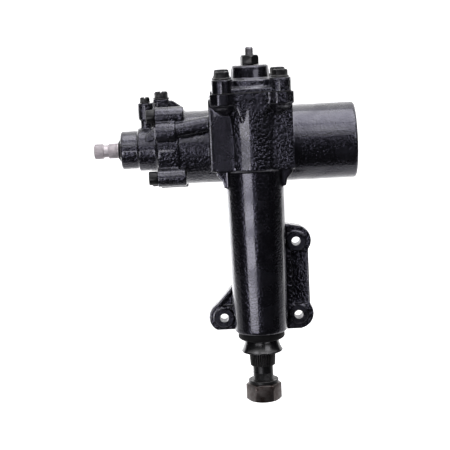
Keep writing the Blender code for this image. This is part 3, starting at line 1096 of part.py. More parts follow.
def torsion_parts(shaft, steel):
    """The torsion bar and the pin that holds it in the input shaft."""
    end, waist = TORSION_BAR_RADIUS + GAP, TORSION_BAR_RADIUS - 0.6
    head_end, foot_start = TORSION_LEFT + TORSION_HEAD_LENGTH, TORSION_RIGHT - TORSION_FOOT_LENGTH
    bar = add_object("torsion_bar", turned(
        [(TORSION_LEFT, 0.0), (TORSION_LEFT, end), (head_end, end), (head_end + TORSION_TAPER, waist),
         (foot_start - TORSION_TAPER, waist), (foot_start, end), (TORSION_RIGHT, end),
         (TORSION_RIGHT, 0.0)], "X", PISTON_AXIS, HOLE_STEPS), steel, PISTON_ORIGIN)
    place = (VALVE_NOSE_END + VALVE_BORE_LEFT) / 2
    reach = INPUT_RADIUS - GAP
    pin = add_object("torsion_pin", rod(PIN_RADIUS, PISTON_LEVEL - reach, PISTON_LEVEL + reach, "Z",
                                        (place, PISTON_Y, 0), SMALL_STEPS), steel, PISTON_ORIGIN)
    for target in (bar, shaft):
        cut(target, rod(PIN_RADIUS + GAP / 2, PISTON_LEVEL - 20, PISTON_LEVEL + 20, "Z",
                        (place, PISTON_Y, 0), SMALL_STEPS))
    return [bar, pin]


def valve_housing(paint):
    """The casting that closes the cylinder and holds the valve, the ports and the worm's bearing."""
    face, outer = VALVE_FACE, VALVE_FLANGE_FACE
    housing = add_object("valve_housing", turned(
        [(VALVE_NOSE_END, 0.0), (VALVE_NOSE_END, VALVE_NOSE_RADIUS - 2.5),
         (VALVE_NOSE_END + 0.8, VALVE_NOSE_RADIUS - 0.8), (VALVE_NOSE_END + 2.5, VALVE_NOSE_RADIUS),
         (VALVE_STEP_END, VALVE_NOSE_RADIUS), (VALVE_STEP_END, VALVE_STEP_RADIUS - 0.8),
         (VALVE_STEP_END + 0.8, VALVE_STEP_RADIUS), (outer - 3.0, VALVE_STEP_RADIUS),
         (outer, VALVE_STEP_RADIUS + 3.0), (outer, VALVE_FLANGE_RADIUS - 1.5),
         (outer + 1.5, VALVE_FLANGE_RADIUS), (face + 1.0, VALVE_FLANGE_RADIUS), (face + 1.0, 0.0)],
        "X", PISTON_AXIS, CAST_STEPS), paint)
    for y, z in VALVE_BOLTS:
        join(housing, rod(VALVE_LOBE_RADIUS, outer - VALVE_LOBE_PROUD, face + 1.0, "X",
                          (0, y, z), ROUND_STEPS))
    join(housing, rod(GALLERY_RADIUS + GALLERY_LOBE_WALL, outer + 0.5, face + 2.0, "X",
                      (0, GALLERY_Y, GALLERY_JOINT_Z), ROUND_STEPS))
    cut(housing, slab("X", face, face + 20))
    join(housing, rod(BORE_RADIUS - GAP, face - 4, face + SPIGOT_LENGTH, "X", PISTON_AXIS, CAST_STEPS))
    foot, end = PISTON_LEVEL + WEB_FOOT, outer - WEB_LENGTH
    web = [(outer + 1, PISTON_LEVEL + WEB_TOP), (outer + 1, foot), (end, foot), (end, foot + 5)]
    middle = PISTON_Y - WEB_OFFSET
    join(housing, prism(web, middle - WEB_THICKNESS / 2, middle + WEB_THICKNESS / 2, "Y"))
    x, y = RETURN_PORT
    join(housing, prism(regular(6, RETURN_BOSS_ACROSS, (x, y), 0.05), RETURN_BOSS_LOW, RETURN_BOSS_TOP))
    cut(housing, box((face, y - 20, RETURN_BOSS_LOW - 1), (face + 20, y + 20, RETURN_BOSS_TOP + 5)))
    x, y = PRESSURE_PORT
    neck = PRESSURE_BOSS_RADIUS - PRESSURE_NECK_STEP
    collar = PRESSURE_BOSS_TOP - PRESSURE_COLLAR
    join(housing, turned(
        [(PISTON_LEVEL + 20, 0.0), (PISTON_LEVEL + 20, neck), (collar - 2, neck),
         (collar, PRESSURE_BOSS_RADIUS), (PRESSURE_BOSS_TOP - 1, PRESSURE_BOSS_RADIUS),
         (PRESSURE_BOSS_TOP, PRESSURE_BOSS_RADIUS - 1),
         (PRESSURE_BOSS_TOP, 0.0)], "Z", (x, y, 0), HOLE_STEPS))
    for (x, y), top in ((RETURN_PORT, RETURN_BOSS_TOP), (PRESSURE_PORT, PRESSURE_BOSS_TOP)):
        cut(housing, rod(PORT_THREAD_RADIUS + GAP, top - PORT_THREAD_DEPTH, top + 3, "Z",
                         (x, y, 0), HOLE_STEPS))
        cut(housing, rod(PORT_PASSAGE_RADIUS, PISTON_LEVEL + 13, top - PORT_THREAD_DEPTH + 2, "Z",
                         (x, y, 0), SMALL_STEPS))
    cut(housing, rod(VALVE_BORE_RADIUS, VALVE_BORE_LEFT, BEARING_LEFT + 3, "X", PISTON_AXIS, BORE_STEPS))
    cut(housing, rod(BEARING_SEAT_RADIUS, BEARING_LEFT - GAP, face + SPIGOT_LENGTH + 5, "X",
                     PISTON_AXIS, BORE_STEPS))
    cut(housing, rod(INPUT_BEARING_RADIUS, VALVE_NOSE_END + 3, VALVE_BORE_LEFT + 3, "X",
                     PISTON_AXIS, ROUND_STEPS))
    cut(housing, rod(INPUT_SEAL_RADIUS, VALVE_NOSE_END - 3, VALVE_NOSE_END + SEAL_SEAT_LENGTH, "X",
                     PISTON_AXIS, ROUND_STEPS))
    groove = face + SPIGOT_LENGTH / 2
    cut(housing, tube(BORE_RADIUS + 2, BORE_RADIUS - 2 * SEAL_SECTION - 0.2, groove - SEAL_SECTION - GAP,
                      groove + SEAL_SECTION + GAP, "X", PISTON_AXIS, BORE_STEPS))
    for y, z in VALVE_BOLTS:
        cut(housing, rod(BOLT_RADIUS + GAP, outer - 5, face + 5, "X", (0, y, z), HOLE_STEPS))
    cut(housing, rod(GALLERY_BORE, outer + 5, face + 5, "X", (0, GALLERY_BORE_Y, GALLERY_JOINT_Z),
                     SMALL_STEPS))
    return housing


def valve_fittings(steel, rubber, bronze):
    """The worm's bearing and its retainer, the input bearing, the seals and the joint ring."""
    nose, inner = VALVE_NOSE_END, INPUT_RADIUS + GAP
    seal_end = nose + SEAL_SEAT_LENGTH - GAP
    seal_outer, cap_outer = INPUT_SEAL_RADIUS - GAP, inner + CAP_LIP
    race = tube(BEARING_SEAT_RADIUS - GAP, BEARING_SEAT_RADIUS - RACE_THICKNESS, BEARING_LEFT,
                BEARING_RIGHT, "X", PISTON_AXIS, ROUND_STEPS, 0.6)
    retainer = tube(BEARING_SEAT_RADIUS - GAP, BEARING_BORE + RETAINER_LIP, BEARING_RIGHT + GAP,
                    VALVE_FACE + SPIGOT_LENGTH - GAP, "X", PISTON_AXIS, ROUND_STEPS)
    needles = tube(INPUT_BEARING_RADIUS - GAP, inner, nose + SEAL_SEAT_LENGTH + GAP,
                   VALVE_BORE_LEFT - 1.0, "X", PISTON_AXIS, ROUND_STEPS, 0.5)
    seal = turned(
        [(nose + 0.4, inner + 1.6), (nose + 0.4, seal_outer), (seal_end, seal_outer),
         (seal_end, inner + 2.6), (nose + 3.0, inner), (nose + 1.6, inner)], "X", PISTON_AXIS, ROUND_STEPS)
    cap = turned(
        [(nose - CAP_HEIGHT, inner), (nose - CAP_HEIGHT, inner + 0.8), (nose - 2 * GAP, cap_outer),
         (nose - GAP, cap_outer), (nose - GAP, inner)], "X", PISTON_AXIS, ROUND_STEPS)
    pieces = [add_object(name, shape, material) for name, shape, material in (
        ("worm_bearing_race", race, steel), ("bearing_retainer", retainer, steel),
        ("input_needle_bearing", needles, steel), ("input_oil_seal", seal, rubber),
        ("input_dust_cap", cap, rubber))]
    middle = VALVE_FACE + SPIGOT_LENGTH / 2
    ring_radius = BORE_RADIUS - GAP / 2 - SEAL_SECTION
    section = [(middle + SEAL_SECTION * math.cos(math.pi * k / 3),
                ring_radius + SEAL_SECTION * math.sin(math.pi * k / 3)) for k in range(6)]
    pieces.append(add_object("joint_seal_ring", turned(section, "X", PISTON_AXIS, BORE_STEPS), rubber))
    return pieces


def worm_bearing_balls(steel):
    """The bearing's inner ring with its row of balls, one rolling piece on the worm."""
    middle = (BEARING_LEFT + BEARING_RIGHT) / 2
    outer, inner = BEARING_SEAT_RADIUS - RACE_THICKNESS - GAP, BEARING_BORE
    track, cage = inner + 3.0, outer - 1.6
    profile = [(BEARING_LEFT, inner), (BEARING_LEFT, track), (middle - 2.4, track), (middle - 2.4, cage),
               (middle + 2.4, cage), (middle + 2.4, track), (BEARING_RIGHT, track), (BEARING_RIGHT, inner)]
    ring = add_object("worm_bearing_rollers", turned(profile, "X", PISTON_AXIS, ROUND_STEPS),
                      steel, PISTON_ORIGIN)
    radius = 2.9
    circle = outer - radius
    count = 9
    for k in range(count):
        angle = 2 * math.pi * k / count
        shape = bmesh.new()
        bmesh.ops.create_icosphere(shape, subdivisions=1, radius=radius)
        spot = Vector((middle, PISTON_Y + circle * math.cos(angle), PISTON_LEVEL + circle * math.sin(angle)))
        bmesh.ops.translate(shape, vec=spot, verts=shape.verts)
        join(ring, shape)
    return ring


def port_plug(name, x, y, seat, across, head, reach, collar, steel):
    """A screw plug that closes a port, with a round collar under its hexagon."""
    low = seat + GAP
    plug = add_object(name, prism(regular(6, across, (x, y), math.pi / 6), low, low + head), steel)
    corner = across / 2 / math.cos(math.pi / 6)
    combine(plug, turned([(low - 1, 0.0), (low - 1, corner), (low + head - 2.6, corner),
                          (low + head - 0.8, corner - 1.6), (low + head, corner - 3.4), (low + head, 0.0)],
                         "Z", (x, y, 0), ROUND_STEPS), "INTERSECT")
    join(plug, rod(collar, low, low + 1.2, "Z", (x, y, 0), ROUND_STEPS))
    join(plug, rod(PORT_THREAD_RADIUS, low - reach, low + 1, "Z", (x, y, 0), HOLE_STEPS))
    cut(plug, box((x - 1.0, y - 12, low + head - 2.0), (x + 1.0, y + 12, low + head + 3)))
    return plug


def main():
    clear_scene()
    paint = look("black_paint", (0.012, 0.012, 0.014), 0.28, 0.0)
    dark_steel = look("black_steel", (0.03, 0.03, 0.032), 0.35, 0.6)
    steel = look("machined_steel", (0.45, 0.45, 0.46), 0.3, 1.0)
    bright = look("bright_steel", (0.72, 0.68, 0.70), 0.25, 1.0)
    nut_steel = look("brown_steel", (0.09, 0.075, 0.07), 0.38, 0.9)
    rubber = look("black_rubber", (0.015, 0.015, 0.015), 0.55, 0.0)
    bronze = look("bearing_bronze", (0.5, 0.33, 0.14), 0.35, 1.0)
    polymer = look("ring_polymer", (0.18, 0.12, 0.08), 0.5, 0.0)
    fibre = look("gasket_fibre", (0.05, 0.05, 0.05), 0.8, 0.0)

    gear_housing(paint)
    cover_gasket(fibre)
    sector_cover(paint)
    for index, (x, y) in enumerate(COVER_BOLTS, 1):
        flange_bolt(f"cover_bolt_{index}", x, y, dark_steel)
    adjuster(dark_steel, dark_steel)
    shaft_bearings(steel, rubber, bronze)
    valve_housing(paint)
    valve_fittings(steel, rubber, bronze)
    for index, (y, z) in enumerate(VALVE_BOLTS, 1):
        socket_bolt(f"valve_bolt_{index}", y, z, dark_steel)
    port_plug("return_port_plug", *RETURN_PORT, RETURN_BOSS_TOP, 14.0, PLUG_HEAD + 2.2, 12.0, 10.0,
              dark_steel)
    port_plug("pressure_port_plug", *PRESSURE_PORT, PRESSURE_BOSS_TOP, 10.0, PLUG_HEAD, 10.0, 6.4,
              dark_steel)

    sector_shaft(dark_steel)
    shaft_fittings(rubber, dark_steel, nut_steel)

    rack_piston(steel)
    return_guide(steel)
    circuit_balls(bright)
    piston_fittings(steel, polymer)

    worm_shaft(steel)
    worm_bearing_balls(bright)
    valve_sleeve(steel)
    sleeve_rings(polymer)
    torsion_parts(input_shaft(bright), steel)


main()
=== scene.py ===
import json
import math

import bpy
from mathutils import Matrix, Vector


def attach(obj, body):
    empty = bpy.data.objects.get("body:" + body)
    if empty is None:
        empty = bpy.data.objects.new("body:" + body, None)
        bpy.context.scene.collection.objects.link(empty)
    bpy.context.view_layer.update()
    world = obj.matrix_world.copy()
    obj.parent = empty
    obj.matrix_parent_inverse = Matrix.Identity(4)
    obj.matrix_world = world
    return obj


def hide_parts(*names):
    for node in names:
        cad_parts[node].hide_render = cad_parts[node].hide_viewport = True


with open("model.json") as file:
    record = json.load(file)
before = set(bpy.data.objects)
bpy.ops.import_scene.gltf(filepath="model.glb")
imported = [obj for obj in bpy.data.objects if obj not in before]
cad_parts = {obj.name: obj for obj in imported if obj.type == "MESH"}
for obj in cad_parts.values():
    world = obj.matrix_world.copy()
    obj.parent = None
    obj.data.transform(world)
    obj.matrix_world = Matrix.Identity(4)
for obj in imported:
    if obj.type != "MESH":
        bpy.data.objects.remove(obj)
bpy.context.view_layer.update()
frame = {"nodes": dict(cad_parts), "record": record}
nodes = frame["nodes"]
mm = 0.001

# Where things are, in millimetres, in the frame of the part
shaftAxis = (0.0, -36.0)            # x and y of the sector shaft's upright axis
pistonAxis = (20.0, 200.0)          # y and z of the piston's level axis
coverBolts = [(x, -36.0 + y) for x in (-32.5, 32.5) for y in (-31.0, 31.0)]
valveBolts = [(20.0 + 50.5 * math.cos(math.radians(126.5 + 90 * k)),
               200.0 + 50.5 * math.sin(math.radians(126.5 + 90 * k))) for k in range(4)]
earHoles = [(45.5, 88.0), (45.5, 0.0), (-42.5, 0.0)]
weldReach = {"drawn": 0.004, "cad": 0.002}          # how near two corners are merged
creaseAngle = 35                                    # in degrees; a sharper bend stays an edge
print("frame loaded:", len(nodes), "pieces")


# Picking and placing

def only(obj):
    if bpy.context.object and bpy.context.object.mode != "OBJECT":
        bpy.ops.object.mode_set(mode="OBJECT")
    bpy.ops.object.select_all(action="DESELECT")
    obj.select_set(True)
    bpy.context.view_layer.objects.active = obj


def editAll(obj):
    only(obj)
    bpy.ops.object.mode_set(mode="EDIT")
    bpy.ops.mesh.select_all(action="SELECT")


def settle(obj):
    # doubles merged and faces turned outwards, as after any spin or extrusion
    editAll(obj)
    bpy.ops.mesh.remove_doubles(threshold=weldReach["drawn"] * mm)
    bpy.ops.mesh.normals_make_consistent(inside=False)
    bpy.ops.object.mode_set(mode="OBJECT")
    return obj


def placed(obj, axis, at):
    # a shape made along Z is turned onto its axis, and its place goes into its mesh
    obj.rotation_euler = {"X": (0, math.pi / 2, 0), "Y": (-math.pi / 2, 0, 0), "Z": (0, 0, 0)}[axis]
    a, b = at[0] * mm, at[1] * mm
    obj.location = {"X": (0, a, b), "Y": (a, 0, b), "Z": (a, b, 0)}[axis]
    only(obj)
    bpy.ops.object.transform_apply(location=True, rotation=True, scale=True)
    return obj


def bar(name, radius, low, high, axis="Z", at=(0, 0), steps=96, endRadius=None, turn=0.0):
    # a straight or tapered round bar; few steps make it a hexagon or an octagon
    bpy.ops.mesh.primitive_cone_add(vertices=steps, radius1=radius * mm, depth=(high - low) * mm,
                                    radius2=(radius if endRadius is None else endRadius) * mm,
                                    location=(0, 0, (low + high) / 2 * mm), rotation=(0, 0, turn))
    obj = bpy.context.object
    obj.name = name
    only(obj)
    bpy.ops.object.transform_apply(location=True, rotation=True, scale=True)
    return placed(obj, axis, at)


def slopedBar(name, radius, start, end, steps=64):
    # a round bar between two points
    way = Vector(end) - Vector(start)
    obj = bar(name, radius, 0, way.length, steps=steps)
    obj.rotation_euler = way.to_track_quat("Z", "Y").to_euler()
    obj.location = [c * mm for c in start]
    only(obj)
    bpy.ops.object.transform_apply(location=True, rotation=True, scale=True)
    return obj


def wrapped(name, points):
    # the tightest skin round some points
    obj = drawn(name, points, [])
    editAll(obj)
    bpy.ops.mesh.convex_hull()
    return settle(obj)


def brick(name, low, high):
    bpy.ops.mesh.primitive_cube_add(size=1, location=[(a + b) / 2 * mm for a, b in zip(low, high)],
                                    scale=[(b - a) * mm for a, b in zip(low, high)])
    obj = bpy.context.object
    obj.name = name
    only(obj)
    bpy.ops.object.transform_apply(location=True, rotation=True, scale=True)
    return obj


def drawn(name, points, edges):
    data = bpy.data.meshes.new(name)
    data.from_pydata([[c * mm for c in p] for p in points], edges, [])
    obj = bpy.data.objects.new(name, data)
    bpy.context.collection.objects.link(obj)
    return obj


def spun(name, profile, axis="Z", at=(0, 0), steps=96, closed=False):
    # a profile of (along, radius) points, spun round its axis
    edges = [(k, k + 1) for k in range(len(profile) - 1)]
    if closed:
        edges.append((len(profile) - 1, 0))
    obj = drawn(name, [(radius, 0, along) for along, radius in profile], edges)
    editAll(obj)
    bpy.ops.mesh.spin(steps=steps, angle=2 * math.pi, center=(0, 0, 0), axis=(0, 0, 1))
    settle(obj)
    return placed(obj, axis, at)


def plate(name, outline, low, high, axis="Z"):
    # an outline given in the two directions across the axis, filled and drawn out along it
    at = {"X": lambda a, b: (low, a, b), "Y": lambda a, b: (a, low, b), "Z": lambda a, b: (a, b, low)}[axis]
    count = len(outline)
    obj = drawn(name, [at(a, b) for a, b in outline], [(k, (k + 1) % count) for k in range(count)])
    editAll(obj)
    bpy.ops.mesh.edge_face_add()
    way = {"X": (1, 0, 0), "Y": (0, 1, 0), "Z": (0, 0, 1)}[axis]
    bpy.ops.mesh.extrude_region_move(
        TRANSFORM_OT_translate={"value": [c * (high - low) * mm for c in way]})
    return settle(obj)


def copyOf(nodeName, name):
    # a merged copy of a CAD piece, to be worked on
    obj = bpy.data.objects.new(name, nodes[nodeName].data.copy())
    obj.data.materials.clear()
    bpy.context.collection.objects.link(obj)
    only(obj)
    if obj.data.has_custom_normals:
        bpy.ops.mesh.customdata_custom_splitnormals_clear()
    editAll(obj)
    bpy.ops.mesh.remove_doubles(threshold=weldReach["cad"] * mm)
    bpy.ops.object.mode_set(mode="OBJECT")
    return obj


def joined(obj, *others):
    only(obj)
    for other in others:
        other.select_set(True)
    bpy.ops.object.join()
    return obj


def picked(obj, wanted):
    # the corners that wanted picks are selected in edit mode, and nothing else is
    only(obj)
    for part in (obj.data.polygons, obj.data.edges, obj.data.vertices):
        part.foreach_set("select", [False] * len(part))
    for corner in obj.data.vertices:
        corner.select = wanted(corner.co / mm)
    bpy.ops.object.mode_set(mode="EDIT")
    bpy.ops.mesh.select_mode(type="VERT")


def moved(obj, wanted, by):
    # the corners that wanted picks, pulled by so many millimetres
    picked(obj, wanted)
    bpy.ops.transform.translate(value=[c * mm for c in by])
    bpy.ops.object.mode_set(mode="OBJECT")


def narrowed(obj, wanted, share):
    # the corners that wanted picks, drawn in round the sector shaft's axis
    picked(obj, wanted)
    middle = (shaftAxis[0] * mm, shaftAxis[1] * mm, 0)
    bpy.ops.transform.resize(value=(share, share, 1), center_override=middle)
    bpy.ops.object.mode_set(mode="OBJECT")


def trimmed(obj, place, way):
    # what lies behind a plane is cut off, and the cut is closed
    editAll(obj)
    bpy.ops.mesh.bisect(plane_co=[c * mm for c in place], plane_no=way, clear_inner=True, use_fill=True)
    bpy.ops.object.mode_set(mode="OBJECT")
    return obj


def applied(obj, kind, **settings):
    only(obj)
    modifier = obj.modifiers.new(kind.lower(), kind)
    for key, value in settings.items():
        setattr(modifier, key, value)
    bpy.ops.object.modifier_apply(modifier=modifier.name)
    return obj


def carved(obj, *tools, how="DIFFERENCE", solver="MANIFOLD"):
    for tool in tools:
        applied(obj, "BOOLEAN", operation=how, solver=solver, object=tool, material_mode="TRANSFER")
        bpy.data.objects.remove(tool)
    return obj


def molten(obj, voxel, passes):
    # everything in the object runs together into one skin with soft edges, as a casting has
    applied(obj, "REMESH", mode="VOXEL", voxel_size=voxel * mm, adaptivity=0.0)
    applied(obj, "SMOOTH", factor=0.5, iterations=passes)
    applied(obj, "DECIMATE", ratio=0.66)          # the flat places need fewer faces
    return obj


def finished(obj, body, replaced, slot, *skins, crease=creaseAngle):
    # smooth shading with its creases kept, its finishes, and its place among the CAD pieces
    only(obj)
    bpy.ops.object.shade_smooth_by_angle(angle=math.radians(crease))
    for index, finish in enumerate(skins):
        if index < len(obj.data.materials):
            obj.data.materials[index] = finish
        else:
            obj.data.materials.append(finish)
    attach(obj, body)
    if replaced:
        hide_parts(*replaced)
    return obj


def copied(obj, name, shift):
    only(obj)
    bpy.ops.object.duplicate()
    twin = bpy.context.object
    twin.name = name
    twin.location = [c * mm for c in shift]
    only(twin)
    bpy.ops.object.transform_apply(location=True, rotation=True, scale=True)
    return twin


# Finishes

class Wire:
    # one socket of a finish, so that its sums read as sums
    def __init__(self, finish, socket):
        self.finish = finish
        self.socket = socket

    def maths(self, operation, first, second=0.0):
        return self.finish.node("ShaderNodeMath", {"operation": operation}, {0: first, 1: second})

    def __add__(self, other):
        return self.maths("ADD", self, other)

    def __radd__(self, other):
        return self.maths("ADD", other, self)

    def __mul__(self, other):
        return self.maths("MULTIPLY", self, other)

    def __rmul__(self, other):
        return self.maths("MULTIPLY", other, self)


class Finish:
    # one material and the nodes that make it
    def __init__(self, name, colour, roughness, metallic=0.0, **same):
        self.material = bpy.data.materials.new(name)
        self.material.use_nodes = True
        self.tree = self.material.node_tree
        self.shader = self.tree.nodes["Principled BSDF"]
        self.material.diffuse_color = (*colour, 1.0)
        self.set("Base Color", (*colour, 1.0))
        self.set("Roughness", roughness)
        self.set("Metallic", metallic)
        for key, value in same.items():          # the same all over, so it is set on the socket
            self.set(key.replace("_", " "), value)
        self.place = self.node("ShaderNodeTexCoord", output="Object")

    def set(self, socket, value):
        self.feed(self.shader.inputs[socket], value)

    def feed(self, socket, value):
        if isinstance(value, Wire):
            self.tree.links.new(value.socket, socket)
        else:
            socket.default_value = value

    def node(self, kind, settings=None, inputs=None, output=0):
        made = self.tree.nodes.new(kind)
        for key, value in (settings or {}).items():
            setattr(made, key, value)
        for key, value in (inputs or {}).items():
            self.feed(made.inputs[key], value)
        return Wire(self, made.outputs[output])

    def noise(self, size, detail=3.0, rough=0.55, place=None):
        # clouds whose lumps are about size millimetres across
        return self.node("ShaderNodeTexNoise", {}, {"Vector": place or self.place, "Scale": 1 / (size * mm),
                                                    "Detail": detail, "Roughness": rough}, "Fac")

    def stretched(self, scale):
        return self.node("ShaderNodeMapping", {}, {"Vector": self.place, "Scale": scale}, "Vector")

    def step(self, value, low, high, atLow=0.0, atHigh=1.0):
        # a soft step from atLow to atHigh
        spans = {"Value": value, "From Min": low, "From Max": high, "To Min": atLow, "To Max": atHigh}
        return self.node("ShaderNodeMapRange", {"interpolation_type": "SMOOTHSTEP"}, spans, "Result")

    def between(self, mask, first, second):
        return self.node("ShaderNodeMix", {"data_type": "RGBA"},
                         {0: mask, 6: first, 7: second}, 2)

    def bump(self, height, depth, under=None):
        # height from 0 to 1 stands for depth millimetres
        inputs = {"Height": height, "Distance": depth * mm, "Strength": 1.0}
        if under:
            inputs["Normal"] = under
        return self.node("ShaderNodeBump", {}, inputs, "Normal")

    def worn(self):
        # edges that stick out
        sharp = self.node("ShaderNodeNewGeometry", output="Pointiness")
        return self.step(sharp, 0.53, 0.62)


castLook = {
    "pebbleSize": 3.2, "pebbleDepth": 0.44, "grainSize": 2.4, "grainDepth": 0.14, "lumps": 0.15,
    "smoothSkin": 0.25, "endSkin": 1.3, "endPebbles": 0.26,        # shares of the grain and the pebbles
    "roughness": 0.2, "spread": 0.08,
    "dark": (0.0015, 0.0015, 0.0020, 1), "light": (0.0036, 0.0036, 0.0045, 1), "sheen": (0.79, 0.77, 1.0, 1),
    # where each skin starts and ends, in metres along x or z
    "blockBottom": (0.172, 0.182), "blockTop": (0.281, 0.279), "blockLeft": (-0.026, -0.018),
    "blockRight": (0.05, 0.045), "valveEnd": (-0.044, -0.05), "closedEnd": (0.047, 0.053),
    "earTop": (0.115, 0.105), "earSide": (0.031, 0.035), "tubeTop": (0.178, 0.172)}


def coarseSkin(finish):
    # where the sand left a coarse skin, on the block's middle and right side, the valve end, the ears and
    # a little on the closed end, and where it left a grainy one, on the tube and the closed end
    x = finish.node("ShaderNodeSeparateXYZ", {}, {0: finish.place}, "X")
    z = finish.node("ShaderNodeSeparateXYZ", {}, {0: finish.place}, "Z")
    look = castLook
    block = finish.step(z, *look["blockBottom"]) * finish.step(z, *look["blockTop"])
    block = block * finish.step(x, *look["blockLeft"]) * finish.step(x, *look["blockRight"])
    valveEnd = finish.step(x, *look["valveEnd"])
    ears = finish.step(z, *look["earTop"]) * finish.step(x.maths("ABSOLUTE", x), *look["earSide"])
    tube = finish.step(z, *look["tubeTop"], look["smoothSkin"], 1.0)
    grainy = tube.maths("MAXIMUM", tube, finish.step(x, *look["closedEnd"], 0.0, look["endSkin"]))
    closedEnd = finish.step(x, *look["closedEnd"], 0.0, look["endPebbles"])
    ends = valveEnd.maths("MAXIMUM", valveEnd, closedEnd)
    return block.maths("MAXIMUM", block, ends.maths("MAXIMUM", ends, ears)), grainy


def castPaint():
    # thick gloss paint over a sand casting
    finish = Finish("castPaint", (0.004, 0.004, 0.005), 0.3, Coat_Roughness=0.1, IOR=1.58,
                    Specular_Tint=castLook["sheen"])
    pebble = finish.noise(castLook["pebbleSize"], 1.0, 0.5)
    grain = finish.noise(castLook["grainSize"], 1.0, 0.5)
    lumps = finish.noise(16.0, 2.0, 0.45)
    patches = finish.noise(34.0, 2.0)
    coarse, grainy = coarseSkin(finish)
    rise = finish.bump(lumps, castLook["lumps"])
    rise = finish.bump(finish.step(grain, 0.3, 0.66) * grainy, castLook["grainDepth"], rise)
    finish.set("Normal", finish.bump(finish.step(pebble, 0.32, 0.64) * coarse, castLook["pebbleDepth"], rise))
    finish.set("Roughness", castLook["roughness"] + castLook["spread"] * finish.step(patches, 0.35, 0.7)
               + 0.06 * pebble)
    finish.set("Coat Weight", 0.4 + 0.5 * finish.step(patches, 0.65, 0.35))
    finish.set("Base Color", finish.between(finish.step(pebble * 0.6 + patches * 0.4, 0.35, 0.7),
                                            castLook["dark"], castLook["light"]))
    return finish.material


def facedPaint():
    # the same paint over a machined face: smoother, with the cutter's faint rings under it
    finish = Finish("facedPaint", (0.004, 0.004, 0.005), 0.3, IOR=1.6, Specular_Tint=castLook["sheen"])
    cloud = finish.noise(5.0, 3.0)
    fine = finish.noise(0.7, 2.0)
    finish.set("Normal", finish.bump(fine, 0.05, finish.bump(cloud, 0.12)))
    finish.set("Roughness", 0.26 + 0.16 * finish.step(cloud, 0.35, 0.7))
    finish.set("Base Color", finish.between(cloud, castLook["dark"], castLook["light"]))
    return finish.material


def blackSteel():
    # painted and phosphated steel: bolts, plugs, the sector shaft
    finish = Finish("blackSteel", (0.016, 0.016, 0.018), 0.35, 0.4)
    cloud = finish.noise(3.0, 4.0, 0.6)
    scratches = finish.noise(1.0, 3.0, 0.6, finish.stretched((0.15, 1.0, 1.0)))
    finish.set("Normal", finish.bump(scratches, 0.04, finish.bump(cloud, 0.06)))
    finish.set("Roughness", 0.24 + 0.22 * cloud)
    finish.set("Base Color", finish.between(finish.worn() * 0.35, (0.006, 0.006, 0.007, 1),
                                            (0.09, 0.085, 0.08, 1)))
    return finish.material


def brownSteel():
    # the big nut: oiled phosphate, browner where it is thick
    finish = Finish("brownSteel", (0.09, 0.075, 0.07), 0.38, 0.9)
    cloud = finish.noise(7.0, 4.0, 0.6)
    speck = finish.noise(0.8, 2.0, 0.6)
    brushed = finish.noise(0.5, 2.0, 0.6, finish.stretched((1.0, 1.0, 0.06)))
    finish.set("Normal", finish.bump(brushed, 0.03, finish.bump(speck, 0.05)))
    finish.set("Roughness", 0.20 + 0.18 * cloud)
    brown = finish.between(finish.step(cloud, 0.35, 0.65), (0.06, 0.041, 0.035, 1), (0.125, 0.11, 0.105, 1))
    finish.set("Base Color", finish.between(finish.worn() * 0.6, brown, (0.32, 0.30, 0.29, 1)))
    return finish.material


def bareSteel(name, colour, roughness, turned, ringSize=0.35):
    # machined steel with the rings of its last cut about one axis
    finish = Finish(name, colour, roughness, 1.0)
    cloud = finish.noise(6.0, 4.0, 0.6)
    squeeze = {"X": (1.0, 0.02, 0.02), "Z": (0.02, 0.02, 1.0)}[turned]
    rings = finish.noise(ringSize, 2.0, 0.5, finish.stretched(squeeze))
    finish.set("Normal", finish.bump(rings, 0.02))
    finish.set("Roughness", roughness - 0.08 + 0.1 * rings + 0.08 * cloud)
    dull = tuple(c * 0.72 for c in colour)
    finish.set("Base Color", finish.between(finish.step(cloud, 0.4, 0.75), (*colour, 1.0), (*dull, 1.0)))
    return finish.material


def mouldedRubber(name, colour, roughness, gloss=0.5):
    finish = Finish(name, colour, roughness, IOR=1.5, Specular_IOR_Level=gloss)
    bloom = finish.noise(9.0, 3.0)
    skin = finish.noise(0.6, 2.0)
    finish.set("Normal", finish.bump(skin, 0.025))
    finish.set("Roughness", roughness - 0.06 + 0.14 * bloom)
    pale = tuple(c * 1.9 + 0.004 for c in colour)
    finish.set("Base Color", finish.between(finish.step(bloom, 0.45, 0.8) * 0.5,
                                            (*colour, 1.0), (*pale, 1.0)))
    return finish.material


def plainFinish(name, colour, roughness, metallic, grainSize, depth):
    finish = Finish(name, colour, roughness, metallic)
    cloud = finish.noise(grainSize * 6, 3.0)
    grain = finish.noise(grainSize, 3.0, 0.6)
    finish.set("Normal", finish.bump(grain, depth))
    finish.set("Roughness", roughness - 0.06 + 0.12 * grain)
    dull = tuple(c * 0.7 for c in colour)
    finish.set("Base Color", finish.between(cloud, (*colour, 1.0), (*dull, 1.0)))
    return finish.material


